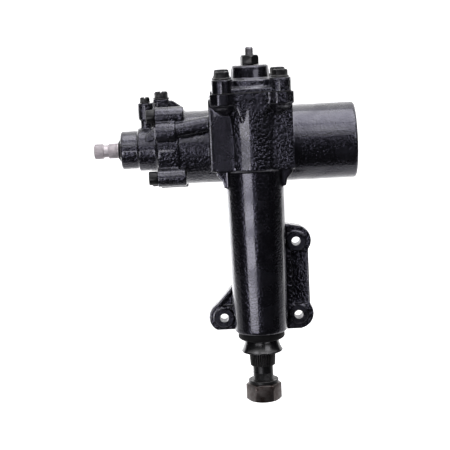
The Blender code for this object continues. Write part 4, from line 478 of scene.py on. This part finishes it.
finishes = {
    "black_paint": castPaint(),
    "faced": facedPaint(),
    "black_steel": blackSteel(),
    "brown_steel": brownSteel(),
    "machined_steel": bareSteel("machinedSteel", (0.45, 0.45, 0.46), 0.32, "X"),
    "bright_steel": bareSteel("brightSteel", (0.52, 0.485, 0.50), 0.5, "X", 0.25),
    "worn_steel": bareSteel("wornSteel", (0.17, 0.165, 0.175), 0.34, "Z"),
    "black_rubber": mouldedRubber("blackRubber", (0.0025, 0.0025, 0.003), 0.6, 0.2),
    "boot_rubber": mouldedRubber("bootRubber", (0.005, 0.005, 0.006), 0.2, 0.85),
    "bearing_bronze": plainFinish("bearingBronze", (0.5, 0.33, 0.14), 0.35, 1.0, 0.8, 0.02),
    "ring_polymer": plainFinish("ringPolymer", (0.18, 0.12, 0.08), 0.5, 0.0, 0.5, 0.02),
    "gasket_fibre": plainFinish("gasketFibre", (0.05, 0.05, 0.05), 0.8, 0.0, 0.4, 0.06),
}
for row in frame["record"]["subparts"]:
    # each CAD piece takes the finish of its slot
    node = nodes[row["node"]]
    node.data.materials.clear()
    node.data.materials.append(finishes[row["material_slot"]])
    only(node)
    bpy.ops.object.shade_smooth_by_angle(angle=math.radians(creaseAngle))
cast, faced, darkSteel = finishes["black_paint"], finishes["faced"], finishes["black_steel"]
print("finishes made")


# Castings: a copy of the CAD piece with true round bodies laid over its facets, run together into one
# skin and then machined. What is machined has crisp edges and the faced finish.

def machining(tool):
    tool.data.materials.append(faced)
    return tool


housingSizes = {
    "voxel": 1.1, "softening": 3,
    "cylinder": [(-99.0, 45.0, -87.0), (-88.0, 43.0, -5.0), (5.0, 45.0, 119.0)],     # start, radius, end
    "blend": (-5.0, 43.0, 5.0, 45.0), "endWall": (42.5, 110.0, 121.8), "bore": (38.0, -101, 112),
    "tube": [(-11.0, 31.0), (158.0, 33.5), (255.0, 33.5)],                           # height, radius
    "tubeBore": (21.3, -30, 173), "shaftWay": (18.5, 170, 190),
    "block": ((-49.2, -64.3, 178.6), (45.3, 10, 260)),
    "flareRound": (36.0, 215, 264, 38.8), "flare": ((23, -74.8, 264), (12, -72.0, 234)), "flareBack": -40,
    "corner": ((-46, -80, 182), (-15, -64.25, 241)), "bulge": [(170, 36.05), (215, 36.05), (264, 38.85)],
    "gallery": ((-97, -15, 222), (-40, -15, 230.4)), "galleryRadius": 10.0,
    "galleryLobe": (13.0, -99, -89), "galleryAt": (-15, 222),
    "earPad": (10.6, -23.0, -10.0), "earFace": (14.0, -50, -20.8), "boltHole": 5.2,
    "coverLobe": (9.0, 248, 270), "flangeLobe": (10.5, -99, -79),
    "topFace": 266, "valveFace": -96, "rearFace": 0,
    "chamber": (37.1, 28.0, 184.4, 275), "chamberSplit": 112}                        # wide, narrow, low, high


def keyhole(wide, narrow):
    # the chamber's outline: a wide arc towards the rack and a narrow one towards the front
    x, y = shaftAxis
    split = housingSizes["chamberSplit"]
    arcs = [(wide, range(-split, split + 1, 4)), (narrow, range(split, 361 - split, 8))]
    return [(x + radius * math.sin(math.radians(a)), y + radius * math.cos(math.radians(a)))
            for radius, angles in arcs for a in angles]


def gearHousing():
    sizes = housingSizes
    casting = copyOf("gear_housing", "housingCasting")
    moved(casting, lambda c: c.z > sizes["topFace"] - 0.1, (0, 0, 5))
    moved(casting, lambda c: c.x < sizes["valveFace"] + 0.1, (-4, 0, 0))
    (low, lowRadius), (middle, middleRadius), (high, highRadius) = sizes["tube"]
    blendStart, blendRadius, blendEnd, blendEndRadius = sizes["blend"]
    flareRadius, flareLow, flareHigh, flareEnd = sizes["flareRound"]
    bodies = [
        bar("tubeLower", lowRadius, low, middle, "Z", shaftAxis, 128, middleRadius),
        bar("tubeUpper", middleRadius, middle - 1, high, "Z", shaftAxis, 128, highRadius),
        bar("cylinderBlend", blendRadius, blendStart, blendEnd, "X", pistonAxis, 128, blendEndRadius),
        bar("endWall", *sizes["endWall"], "X", pistonAxis, 128),
        brick("blockCore", *sizes["block"]),
        bar("blockFlareRound", flareRadius, flareLow, flareHigh, "Z", shaftAxis, 128, flareEnd),
        wrapped("blockFlare", [(side * x, y, z) for side in (-1, 1) for x, front, z in sizes["flare"]
                               for y in (front, sizes["flareBack"])]),
        slopedBar("galleryPipe", sizes["galleryRadius"], *sizes["gallery"]),
        bar("galleryLobe", *sizes["galleryLobe"], "X", sizes["galleryAt"], 64),
    ]
    for start, radius, end in sizes["cylinder"]:
        bodies.append(bar("cylinderPart", radius, start, end, "X", pistonAxis, 128))
    for place in earHoles:
        bodies.append(bar("earPad", *sizes["earPad"], "Y", place, 64))
    for place in coverBolts:
        bodies.append(bar("lobeCore", *sizes["coverLobe"], "Z", place, 24))
    for place in valveBolts:
        bodies.append(bar("flangeLobe", *sizes["flangeLobe"], "X", place, 64))
    joined(casting, *bodies)
    molten(casting, sizes["voxel"], sizes["softening"])
    carved(casting,
           machining(brick("topFace", (-80, -110, sizes["topFace"]), (80, 60, 290))),
           machining(brick("valveFace", (-120, -60, 120), (sizes["valveFace"], 90, 270))),
           machining(brick("rearFace", (-80, sizes["rearFace"], -50), (80, 30, 140))),
           machining(bar("cylinderBore", *sizes["bore"], "X", pistonAxis, 96)),
           machining(bar("shaftBore", *sizes["tubeBore"], "Z", shaftAxis, 96)),
           machining(bar("shaftWay", *sizes["shaftWay"], "Z", shaftAxis, 64)))
    wide, narrow, floor, top = sizes["chamber"]
    carved(casting, machining(plate("chamberTool", keyhole(wide, narrow), floor, top)))
    for place in earHoles:
        carved(casting,
               machining(bar("earHole", sizes["boltHole"], -40, 10, "Y", place, 64)),
               machining(bar("padFace", *sizes["earFace"], "Y", place, 64)))
    for place in coverBolts:
        carved(casting, machining(bar("boltHole", sizes["boltHole"], 250, 280, "Z", place, 32)))
    for place in valveBolts:
        carved(casting, machining(bar("boltHole", sizes["boltHole"], -110, -80, "X", place, 32)))
    # a crisp corner where the bulge rises from the block's left part
    corner = brick("cornerTool", *sizes["corner"])
    bulge = sizes["bulge"]
    carved(corner, spun("bulgeShape", [(bulge[0][0], 0), *bulge, (bulge[-1][0], 0)], "Z", shaftAxis, 128))
    corner.data.materials.append(cast)
    carved(casting, corner)
    return finished(casting, "housing", ["gear_housing"], "black_paint", cast, faced)


coverSizes = {
    "voxel": 0.7, "softening": 3, "joint": 267.4,
    # the plate, the drum on it and the boss, as heights and radii
    "plate": [(266.0, 37.5), (271.6, 37.0), (272.4, 36.0)],
    "drum": [(272.8, 33.4), (279.8, 33.2), (280.7, 32.0)],
    "boss": [(280.9, 22.2), (293.5, 21.0), (295.3, 20.1), (296, 18.3)],
    "lobe": (12.0, 266, 281.7), "spigot": (36.8, 27.7, 259.0, 268.4),
    "bore": (21.3, 250, 278.5), "adjusterHole": (5.1, 270, 300),
    "boltHole": (5.2, 250, 290), "boltSeat": (10.4, 281.7, 290)}


def sectorCover():
    sizes = coverSizes
    casting = copyOf("sector_cover", "coverCasting")
    outline = [*sizes["plate"], *sizes["drum"], *sizes["boss"]]
    bodies = [spun("coverBoss", [(outline[0][0], 0), *outline, (outline[-1][0], 0)], "Z", shaftAxis, 128)]
    for place in coverBolts:
        bodies.append(bar("coverLobe", *sizes["lobe"], "Z", place, 64))
    joined(casting, *bodies)
    joint = sizes["joint"]
    moved(casting, lambda c: abs(c.z - joint) < 0.2, (0, 0, -3))
    molten(casting, sizes["voxel"], sizes["softening"])
    carved(casting, machining(brick("coverFace", (-80, -110, 240), (80, 60, joint))))
    wide, narrow, low, high = sizes["spigot"]
    carved(casting, machining(plate("spigot", keyhole(wide, narrow), low, high)), how="UNION")
    carved(casting,
           machining(bar("coverBore", *sizes["bore"], "Z", shaftAxis, 96)),
           machining(bar("adjusterHole", *sizes["adjusterHole"], "Z", shaftAxis, 48)))
    for place in coverBolts:
        carved(casting,
               machining(bar("boltHole", *sizes["boltHole"], "Z", place, 32)),
               machining(bar("boltSeat", *sizes["boltSeat"], "Z", place, 48)))
    return finished(casting, "housing", ["sector_cover"], "black_paint", cast, faced)


valveSizes = {
    "voxel": 0.8, "softening": 3, "joint": -96.3, "centring": 37.9,
    # the nose, the body behind it and the flange, as places along the axis and radii
    "nose": [(-154.6, 19.2), (-152.6, 21.2), (-134, 22.6)],
    "body": [(-134, 24.7), (-133.2, 25.2), (-114, 25.8)],
    "flange": [(-111, 28.5), (-111, 42.5), (-109.5, 44), (-93.5, 44)],
    "galleryEnd": (13.0, -111.4, -94), "galleryAt": (-15, 222), "flangeLobe": (10.5, -111.6, -94),
    "pressureBoss": (8.7, 236.5, 254.9), "pressureFoot": (6.0, 215, 237, 6.4), "pressureAt": (-124, 20),
    "returnAcross": 21.0, "returnBoss": (241.5, 257.8), "returnAt": (-105, 30), "returnTurn": 0.05,
    "spigot": (37.7, -98, -91.3), "bearingSeat": (25.8, -108.3, -85), "valveBore": (19.4, -138, -105),
    "needleSeat": (12.5, -152, -135), "sealSeat": (14.2, -160, -149),
    "boltHole": (5.2, -120, -90), "boltSeat": (9.0, -125, -111.4),
    "portHole": 4.9, "returnTop": 257.6, "pressureTop": 254.6}


def valveHousing():
    sizes = valveSizes
    casting = copyOf("valve_housing", "valveCasting")
    y0, z0 = pistonAxis
    joint, centring = sizes["joint"], sizes["centring"]
    moved(casting, lambda c: joint - 0.3 < c.x < joint + 0.2 and math.hypot(c.y - y0, c.z - z0) > centring,
          (3, 0, 0))
    outline = [*sizes["nose"], *sizes["body"], *sizes["flange"]]
    footRadius, footLow, footHigh, footEnd = sizes["pressureFoot"]
    returnRadius = sizes["returnAcross"] / 2 / math.cos(math.pi / 6) - 0.2
    bodies = [
        spun("valveBody", [(outline[0][0], 0), *outline, (outline[-1][0], 0)], "X", pistonAxis, 128),
        bar("galleryEnd", *sizes["galleryEnd"], "X", sizes["galleryAt"], 64),
        bar("pressureBoss", *sizes["pressureBoss"], "Z", sizes["pressureAt"], 64),
        bar("pressureFoot", footRadius, footLow, footHigh, "Z", sizes["pressureAt"], 48, footEnd),
        bar("returnBoss", returnRadius, *sizes["returnBoss"], "Z", sizes["returnAt"], 6,
            turn=sizes["returnTurn"] + math.pi / 2),
    ]
    for place in valveBolts:
        bodies.append(bar("flangeLobe", *sizes["flangeLobe"], "X", place, 64))
    joined(casting, *bodies)
    molten(casting, sizes["voxel"], sizes["softening"])
    carved(casting, machining(brick("jointFace", (joint, -60, 120), (-80, 90, 270))))
    carved(casting, machining(bar("spigot", *sizes["spigot"], "X", pistonAxis, 96)), how="UNION")
    carved(casting,
           machining(bar("bearingSeat", *sizes["bearingSeat"], "X", pistonAxis, 96)),
           machining(bar("valveBore", *sizes["valveBore"], "X", pistonAxis, 96)),
           machining(bar("needleSeat", *sizes["needleSeat"], "X", pistonAxis, 64)),
           machining(bar("sealSeat", *sizes["sealSeat"], "X", pistonAxis, 64)))
    for place in valveBolts:
        carved(casting,
               machining(bar("boltHole", *sizes["boltHole"], "X", place, 32)),
               machining(bar("boltSeat", *sizes["boltSeat"], "X", place, 48)))
    for port in ("return", "pressure"):
        x, y = sizes[port + "At"]
        top = sizes[port + "Top"]
        carved(casting,
               machining(brick("portFace", (x - 14, y - 14, top), (x + 14, y + 14, top + 10))),
               machining(bar("portHole", sizes["portHole"], top - 12, top + 3, "Z", (x, y), 32)))
    return finished(casting, "housing", ["valve_housing"], "black_paint", cast, faced)


gearHousing()
print("gear housing cast")
sectorCover()
print("cover cast")
valveHousing()
print("valve housing cast")


# Fasteners and turned pieces

def threaded(low, high, radius, pitch, depth):
    # the profile of a thread, crest to root
    points = []
    count = int((high - low) / pitch)
    for k in range(count):
        points += [(low + (k + 0.15) * pitch, radius - depth), (low + (k + 0.5) * pitch, radius),
                   (low + (k + 0.62) * pitch, radius)]
    return points


def hexHead(name, across, low, high, axis, at, turn, topBevel, bothEnds=False):
    # a hexagon whose corners are turned down to a cone
    corner = across / 2 / math.cos(math.pi / 6)
    head = bar(name, corner, low, high, axis, at, 6, turn=turn)
    start, end = across / 2 * 0.96, corner + 0.2          # from just inside the flats to past the corners
    profile = [(low - 1, 0), (low - 1, corner + 1)]
    if bothEnds:
        profile = [(low, 0), (low, start), (low + topBevel, end)]
    profile += [(high - topBevel, end), (high, start), (high, 0)]
    carved(head, spun("turning", profile, axis, at, 64), how="INTERSECT", solver="EXACT")
    return head


def softEdged(obj, width, segments=2, angle=30):
    return applied(obj, "BEVEL", width=width * mm, segments=segments, limit_method="ANGLE",
                   angle_limit=math.radians(angle), harden_normals=False)


coverBoltSizes = {"across": 15.0, "flange": 10.0, "flangeRim": 1.0, "flangeTop": 2.2, "flangeSlope": 1.6,
                  "seat": 282.3, "top": 290.8, "bevel": 1.4, "shank": 4.9, "foot": 251,
                  "dish": 5.0, "dishDepth": 0.6, "turn": 0.52}


def coverBoltSet():
    sizes = coverBoltSizes
    x0, y0 = coverBolts[0]
    seat, top, foot = sizes["seat"], sizes["top"], sizes["foot"]
    shank, flange, rim = sizes["shank"], sizes["flange"], seat + sizes["flangeTop"]
    bolt = spun("coverBolt1", [(foot, 0), (foot, shank - 1), (foot + 1, shank), (seat, shank), (seat, flange),
                               (seat + sizes["flangeRim"], flange), (rim, flange - sizes["flangeSlope"]),
                               (rim, 0)], "Z", (x0, y0), 64)
    head = hexHead("boltHead", sizes["across"], rim - 1.0, top, "Z", (x0, y0), sizes["turn"], sizes["bevel"])
    dish, depth = sizes["dish"], sizes["dishDepth"]
    carved(head, bar("headDish", dish, top - depth, top + 1, "Z", (x0, y0), 48, dish + depth), solver="EXACT")
    softEdged(head, 0.25)
    joined(bolt, head)
    for k, (x, y) in enumerate(coverBolts[1:], 2):
        twin = copied(bolt, f"coverBolt{k}", (x - x0, y - y0, 0))
        finished(twin, "housing", [f"cover_bolt_{k}"], "black_steel", darkSteel)
    finished(bolt, "housing", ["cover_bolt_1"], "black_steel", darkSteel)


adjusterSizes = {"radius": 4.8, "top": 316.0, "pitch": 1.25, "thread": (278, 314.6), "threadDepth": 0.6,
                 "head": 8.7, "headLow": 264.8, "headHigh": 269.8, "slot": 1.8, "slotDepth": 3.0,
                 "nut": 19.0, "seat": 296.3, "nutTop": 307.0, "nutTurn": 12, "nutBevel": 2.6, "nutMouth": 9.0}


def adjusterSet():
    sizes = adjusterSizes
    radius, top, head = sizes["radius"], sizes["top"], sizes["head"]
    low, high = sizes["headLow"], sizes["headHigh"]
    screw = spun("adjusterScrew", [(low, 0), (low, head), (high, head), (high, radius)]
                 + threaded(*sizes["thread"], radius, sizes["pitch"], sizes["threadDepth"])
                 + [(top - 1.2, radius - 0.4), (top, radius - 1.4), (top, 0)], "Z", shaftAxis, 64)
    front, back = shaftAxis[1] - sizes["slot"] / 2, shaftAxis[1] + sizes["slot"] / 2
    carved(screw, brick("slot", (-10, front, top - sizes["slotDepth"]), (10, back, top + 3)), solver="EXACT")
    finished(screw, "housing", ["adjuster_screw"], "black_steel", finishes["worn_steel"])
    nut = hexHead("adjusterNut", sizes["nut"], sizes["seat"], sizes["nutTop"], "Z", shaftAxis,
                  math.radians(sizes["nutTurn"]), sizes["nutBevel"])
    bore, mouth = radius + 0.3, sizes["nutTop"] - 1.2
    foot, end = sizes["seat"] - 6.3, sizes["nutTop"] + 3.0
    carved(nut, spun("nutBore", [(foot, 0), (foot, bore), (mouth, bore), (end, sizes["nutMouth"]), (end, 0)],
                     "Z", shaftAxis, 64), solver="EXACT")
    softEdged(nut, 0.3)
    finished(nut, "housing", ["adjuster_lock_nut"], "black_steel", darkSteel)


valveBoltSizes = {"head": 8.0, "seat": -111.9, "length": 10.0, "socket": 8.0, "socketDepth": 5.0,
                  "shank": 4.9, "foot": -81}


def valveBoltSet():
    sizes = valveBoltSizes
    y0, z0 = valveBolts[0]
    seat, head, shank, foot = sizes["seat"], sizes["head"], sizes["shank"], sizes["foot"]
    top = seat - sizes["length"]
    bolt = spun("valveBolt1", [(top, 0), (top, head - 1.0), (top + 0.35, head - 0.3), (top + 1.1, head),
                               (seat - 0.4, head), (seat, head - 0.4), (seat, shank), (foot - 1, shank),
                               (foot, shank - 0.9), (foot, 0)], "X", (y0, z0), 64)
    corner = sizes["socket"] / 2 / math.cos(math.pi / 6)
    carved(bolt, bar("socket", corner, top - 2, top + sizes["socketDepth"], "X", (y0, z0), 6), solver="EXACT")
    softEdged(bolt, 0.2, 2, 40)
    for k, (y, z) in enumerate(valveBolts[1:], 2):
        twin = copied(bolt, f"valveBolt{k}", (0, y - y0, z - z0))
        finished(twin, "housing", [f"valve_bolt_{k}"], "black_steel", darkSteel)
    finished(bolt, "housing", ["valve_bolt_1"], "black_steel", darkSteel)


plugSizes = {
    "plugs": [  # name, CAD piece, x, y, seat, across the flats, height, collar
        ("returnPlug", "return_port_plug", -105.0, 30.0, 258.3, 14.0, 8.7, 10.0),
        ("pressurePlug", "pressure_port_plug", -124.0, 20.0, 255.3, 10.0, 6.5, 6.4)],
    "slot": 1.4, "slotDepth": 1.6, "stem": 4.6, "stemLength": 12}


def portPlugs():
    half, stem = plugSizes["slot"] / 2, plugSizes["stem"]
    for name, node, x, y, seat, across, height, collar in plugSizes["plugs"]:
        top, foot = seat + height, seat - plugSizes["stemLength"]
        plug = hexHead(name, across, seat + 1.0, top, "Z", (x, y), math.pi / 6, 2.0)
        floor = top - plugSizes["slotDepth"]
        carved(plug, brick("slot", (x - half, y - 12, floor), (x + half, y + 12, top + 3)), solver="EXACT")
        softEdged(plug, 0.3)
        joined(plug, spun("plugStem", [(foot, 0), (foot, stem), (seat, stem), (seat, collar - 0.4),
                                       (seat + 0.4, collar), (seat + 0.9, collar), (seat + 1.2, collar - 0.4),
                                       (seat + 1.2, 0)], "Z", (x, y), 64))
        finished(plug, "housing", [node], "black_steel", darkSteel)


nutSizes = {"across": 36.0, "low": -96.0, "high": -75.3, "bevel": 1.6, "bore": 12.1, "mouth": 13.6,
            "washer": 17.5, "washerLow": -75.0, "washerHigh": -71.3,
            # the sloping cut that lets the washer spring, as y and z, and its start and end along x
            "washerCut": [(-38.8, -71.0), (-36.4, -71.0), (-34.4, -75.4), (-36.8, -75.4)],
            "cutSpan": (9.0, 20.0)}


def pitmanNut():
    sizes = nutSizes
    low, high, bore, mouth, washer = [sizes[key] for key in ("low", "high", "bore", "mouth", "washer")]
    nut = hexHead("pitmanNut", sizes["across"], low, high, "Z", shaftAxis, math.pi / 6, sizes["bevel"], True)
    carved(nut, spun("nutBore", [(low - 1, 0), (low - 1, mouth), (low + 1.7, bore), (high - 2, bore),
                                 (high + 1.3, mouth + 0.4), (high + 1.3, 0)], "Z", shaftAxis, 64),
           solver="EXACT")
    softEdged(nut, 0.35)
    finished(nut, "sector", ["pitman_nut"], "brown_steel", finishes["brown_steel"])
    low, high = sizes["washerLow"], sizes["washerHigh"]
    ring = spun("springWasher", [(low, bore), (low, washer - 0.4), (low + 0.4, washer), (high - 0.4, washer),
                                 (high, washer - 0.4), (high, bore)], "Z", shaftAxis, 96, closed=True)
    carved(ring, plate("washerCut", sizes["washerCut"], *sizes["cutSpan"], "X"), solver="EXACT")
    finished(ring, "sector", ["lock_washer"], "black_steel", darkSteel)


def toothRing(count, radius, tooth, centre):
    # a ring of teeth; tooth gives, along one pitch, how far the flank lies under the crest
    outline = []
    for k in range(count):
        for share, drop in tooth:
            angle = 2 * math.pi * (k + share) / count
            outline.append((centre[0] + (radius - drop) * math.cos(angle),
                            centre[1] + (radius - drop) * math.sin(angle)))
    return outline


shaftSizes = {
    "radius": 17.5, "cut": 30.0, "shoulder": -36,
    "end": -94.5, "thread": 11.8, "threadTop": -62, "threadDepth": 0.75, "pitch": 1.5,
    "waist": [(-61, 11.6), (-54, 11.6)], "core": [(-54, 12.9), (-40, 14.2)],        # heights and radii
    "teeth": 36, "serration": 15.4, "serrationSpan": (-53.8, -39), "taper": 0.94,
    "tooth": ((0.0, 1.3), (0.22, 1.1), (0.38, 0.0), (0.62, 0.0), (0.78, 1.1))}


def sectorShaft():
    sizes = shaftSizes
    shaft = trimmed(copyOf("sector_shaft", "sectorShaft"), (0, 0, sizes["cut"]), (0, 0, 1))
    end, thread, radius, top = sizes["end"], sizes["thread"], sizes["radius"], sizes["cut"] + 0.5
    lower = spun("shaftLower", [(end, 0), (end, thread - 1.5)]
                 + threaded(end + 1.0, sizes["threadTop"], thread, sizes["pitch"], sizes["threadDepth"])
                 + [*sizes["waist"], *sizes["core"], (sizes["shoulder"], radius), (top, radius), (top, 0)],
                 "Z", shaftAxis, 128)
    low, high = sizes["serrationSpan"]
    outline = toothRing(sizes["teeth"], sizes["serration"], sizes["tooth"], shaftAxis)
    teeth = plate("serration", outline, low, high)
    narrowed(teeth, lambda c: c.z < low + 3, sizes["taper"])
    joined(shaft, lower, teeth)
    finished(shaft, "sector", ["sector_shaft"], "black_steel", darkSteel)


bootSizes = {
    "profile": [(-22.4, 17.8), (-22.4, 19.2), (-23.0, 19.5), (-25.4, 19.8), (-30.0, 21.2), (-33.0, 22.4),
                (-35.0, 23.5), (-35.8, 24.0), (-36.4, 24.0), (-37.0, 23.6), (-36.6, 22.6), (-35.0, 21.4),
                (-28.4, 17.8)],
    "ring": [(-22.0, 17.8), (-22.0, 23.6), (-21.4, 25.0), (-20.0, 26.6), (-19.4, 27.0), (-13.6, 27.0),
             (-13.3, 26.7), (-13.3, 21.0), (-7.2, 21.0), (-7.2, 17.8)]}


def dustBoot():
    boot = spun("dustBoot", bootSizes["profile"], "Z", shaftAxis, 128, closed=True)
    finished(boot, "sector", ["dust_boot"], "black_rubber", finishes["boot_rubber"], crease=50)
    ring = spun("dustRing", bootSizes["ring"], "Z", shaftAxis, 128, closed=True)
    finished(ring, "housing", ["dust_ring"], "black_rubber", finishes["black_rubber"])


inputSizes = {
    "radius": 8.9, "root": 8.15, "end": -187.0, "cut": -158.5, "shoulder": (-160.5, -159.6),
    "groove": (-176.0, -170.0), "grooveRadius": 7.2,
    "teeth": 36, "tooth": ((0.0, 0.72), (0.2, 0.6), (0.38, 0.0), (0.62, 0.0), (0.8, 0.6)),
    "cap": [(-158.2, 9.2), (-158.2, 9.9), (-157.7, 10.5), (-156.2, 13.0), (-155.6, 13.4), (-155.3, 13.4),
            (-155.3, 9.2)]}


def inputShaft():
    sizes = inputSizes
    shaft = trimmed(copyOf("input_shaft", "inputShaft"), (sizes["cut"], 0, 0), (1, 0, 0))
    radius, root, end, stop = sizes["radius"], sizes["root"], sizes["end"], sizes["cut"] + 0.1
    left, right = sizes["groove"]
    groove, (toothEnd, shoulder) = sizes["grooveRadius"], sizes["shoulder"]
    core = spun("shaftCore", [(end, 0), (end, root - 0.9), (end + 0.9, root), (left, root),
                              (left + 0.5, groove), (right - 0.5, groove), (right, root), (toothEnd, root),
                              (shoulder, radius), (stop, radius), (stop, 0)], "X", pistonAxis, 96)
    outline = toothRing(sizes["teeth"], radius, sizes["tooth"], pistonAxis)
    teeth = [plate("serration", outline, end + 0.7, left - 0.2, "X"),
             plate("serration", outline, right + 0.2, toothEnd + 0.3, "X")]
    joined(shaft, core, *teeth)
    finished(shaft, "input", ["input_shaft"], "bright_steel", finishes["bright_steel"])
    cap = spun("inputCap", sizes["cap"], "X", pistonAxis, 96, closed=True)
    finished(cap, "housing", ["input_dust_cap"], "black_rubber", finishes["black_rubber"])


coverBoltSet()
adjusterSet()
valveBoltSet()
portPlugs()
print("fasteners made")
pitmanNut()
sectorShaft()
dustBoot()
inputShaft()
print("shafts made")


# Studio

studio = {
    # floorShade: where along y the painted shade on the floor's reflected glow runs, and how dark to how
    # light
    "floorLevel": -0.42, "floorFront": -0.15, "floorShade": (-2.7, -1.6, 0.1, 1.0), "wall": 1.9,
    "world": 0.12, "aim": (0, 0, 0.12),
    "lamps": [  # name, place, width, height, brightness, colour
        ("topSoftbox", (0.31, -0.16, 1.5), 1.07, 1.57, 3.3, (0.97, 0.96, 1.0)),
        ("frontTopSoftbox", (0.25, -1.09, 1.32), 1.1, 0.6, 2.0, (0.97, 0.96, 1.0)),
        ("frontLeftSoftbox", (-0.75, -1.36, -0.155), 0.94, 0.61, 5.0, (0.96, 0.95, 1.0)),
        ("frontRightSoftbox", (0.88, -1.27, 0.62), 0.85, 0.5, 2.6, (0.96, 0.95, 1.0)),
        ("lowStripLamp", (-0.27, -1.3, 0.17), 0.26, 0.1, 6.0, (0.96, 0.95, 1.0)),
        ("highLeftSoftbox", (-0.84, -0.94, 1.08), 0.6, 0.5, 2.4, (0.96, 0.95, 1.0)),
        ("backLeftSoftbox", (-0.84, 1.22, 0.1), 1.0, 1.2, 1.3, (0.97, 0.97, 1.0))],
    # black cards in a ring round the front: where each stands, in degrees, and their size
    "flags": (-104, -72, -36, 0, 36, 72, 104), "flagReach": 2.1, "flagWidth": 1.45, "flagHeight": (-1.3, 1.0)}


def paleFinish(name, shade):
    # diffuse white that also shows as white to the camera and in reflections; in reflections its glow is
    # scaled by shade, which paints shade onto it wherever shade is below one
    finish = Finish(name, (0.82, 0.82, 0.82), 0.9)
    path = finish.tree.nodes.new("ShaderNodeLightPath")
    seen, glossy, through = [Wire(finish, path.outputs[f"Is {key} Ray"])
                             for key in ("Camera", "Glossy", "Transmission")]
    mirrored = glossy.maths("MAXIMUM", glossy, through) * shade(finish)
    strength = seen.maths("MAXIMUM", seen, mirrored)
    glow = finish.node("ShaderNodeEmission", {}, {"Color": (1, 1, 1, 1), "Strength": strength}, "Emission")
    both = finish.node("ShaderNodeAddShader", {}, {0: glow, 1: Wire(finish, finish.shader.outputs[0])})
    finish.feed(finish.tree.nodes["Material Output"].inputs["Surface"], both)
    return finish.material


def feltFinish():
    # black felt, for the cards that keep the front of the studio dark
    finish = Finish("blackFelt", (0.004, 0.004, 0.004), 0.95)
    finish.set("Base Color", finish.between(finish.noise(2.0, 2.0), (0.003, 0.003, 0.003, 1),
                                            (0.006, 0.006, 0.006, 1)))
    return finish.material


def card(name, finish, place, turn, width, height):
    bpy.ops.mesh.primitive_plane_add(size=1, location=place, rotation=turn)
    obj = bpy.context.object
    obj.name = name
    obj.scale = (width, height, 1)
    only(obj)
    bpy.ops.object.transform_apply(location=False, rotation=False, scale=True)
    obj.data.materials.append(finish)
    return obj


def buildStudio():
    level, front = studio["floorLevel"], studio["floorFront"]
    felt = feltFinish()

    def paintedFloorShade(finish):
        # painted shade: the floor's glow, as it shows in reflections, is painted a little darker towards its
        # near end, where it runs out of the light
        y = finish.node("ShaderNodeSeparateXYZ", {}, {0: finish.place}, "Y")
        return finish.step(y, *studio["floorShade"])

    card("studioFloor", paleFinish("floorWhite", paintedFloorShade), (0, front + 3, level), (0, 0, 0), 8, 6)
    card("studioWall", paleFinish("wallWhite", lambda finish: 1.0), (0, studio["wall"], 0),
         (math.pi / 2, 0, 0), 8, 8)
    mat = card("darkMat", felt, (0, front - 1.5, level), (0, 0, 0), 5, 3)
    mat.visible_camera = False
    low, high = studio["flagHeight"]
    reach = studio["flagReach"]
    for number, degrees in enumerate(studio["flags"], 1):
        angle = math.radians(degrees)
        place = (reach * math.sin(angle), -reach * math.cos(angle), (low + high) / 2)
        flag = card(f"flag{number}", felt, place, (math.pi / 2, 0, angle), studio["flagWidth"], high - low)
        flag.visible_camera = False
    for name, place, width, height, brightness, colour in studio["lamps"]:
        bpy.ops.object.light_add(type="AREA", location=place)
        lamp = bpy.context.object
        lamp.name = name
        lamp.data.shape = "RECTANGLE"
        lamp.data.size, lamp.data.size_y = width, height
        lamp.data.energy = brightness * math.pi * width * height
        lamp.data.color = colour
        lamp.visible_camera = False
        aim = Vector(studio["aim"]) - Vector(place)
        lamp.rotation_euler = aim.to_track_quat("-Z", "Y").to_euler()
    buildWorld()
    bpy.context.scene.view_settings.view_transform = "Standard"


def buildWorld():
    # white where it is seen or mirrored, and a weak fill elsewhere
    world = bpy.context.scene.world or bpy.data.worlds.new("studioWorld")
    bpy.context.scene.world = world
    world.use_nodes = True
    tree = world.node_tree
    background = tree.nodes["Background"]
    path = tree.nodes.new("ShaderNodeLightPath")
    seen = path.outputs["Is Camera Ray"]
    for key in ("Is Glossy Ray", "Is Transmission Ray"):
        either = tree.nodes.new("ShaderNodeMath")
        either.operation = "MAXIMUM"
        tree.links.new(seen, either.inputs[0])
        tree.links.new(path.outputs[key], either.inputs[1])
        seen = either.outputs[0]
    mix = tree.nodes.new("ShaderNodeMix")
    mix.inputs["A"].default_value = studio["world"]
    mix.inputs["B"].default_value = 1.0
    tree.links.new(seen, mix.inputs["Factor"])
    tree.links.new(mix.outputs["Result"], background.inputs["Strength"])
    background.inputs["Color"].default_value = (1, 1, 1, 1)


cameraSizes = {"place": (-0.0366, -1.5188, 0.3511), "turn": (80.889, 2.765, -0.443), "lens": 104.0}


def placeCamera():
    bpy.ops.object.camera_add(location=cameraSizes["place"],
                              rotation=[math.radians(a) for a in cameraSizes["turn"]])
    camera = bpy.context.object
    camera.name = "productCamera"
    camera.data.lens = cameraSizes["lens"]
    camera.data.sensor_width = 36.0
    camera.data.clip_end = 50.0
    bpy.context.scene.camera = camera


buildStudio()
placeCamera()
print("studio lit")
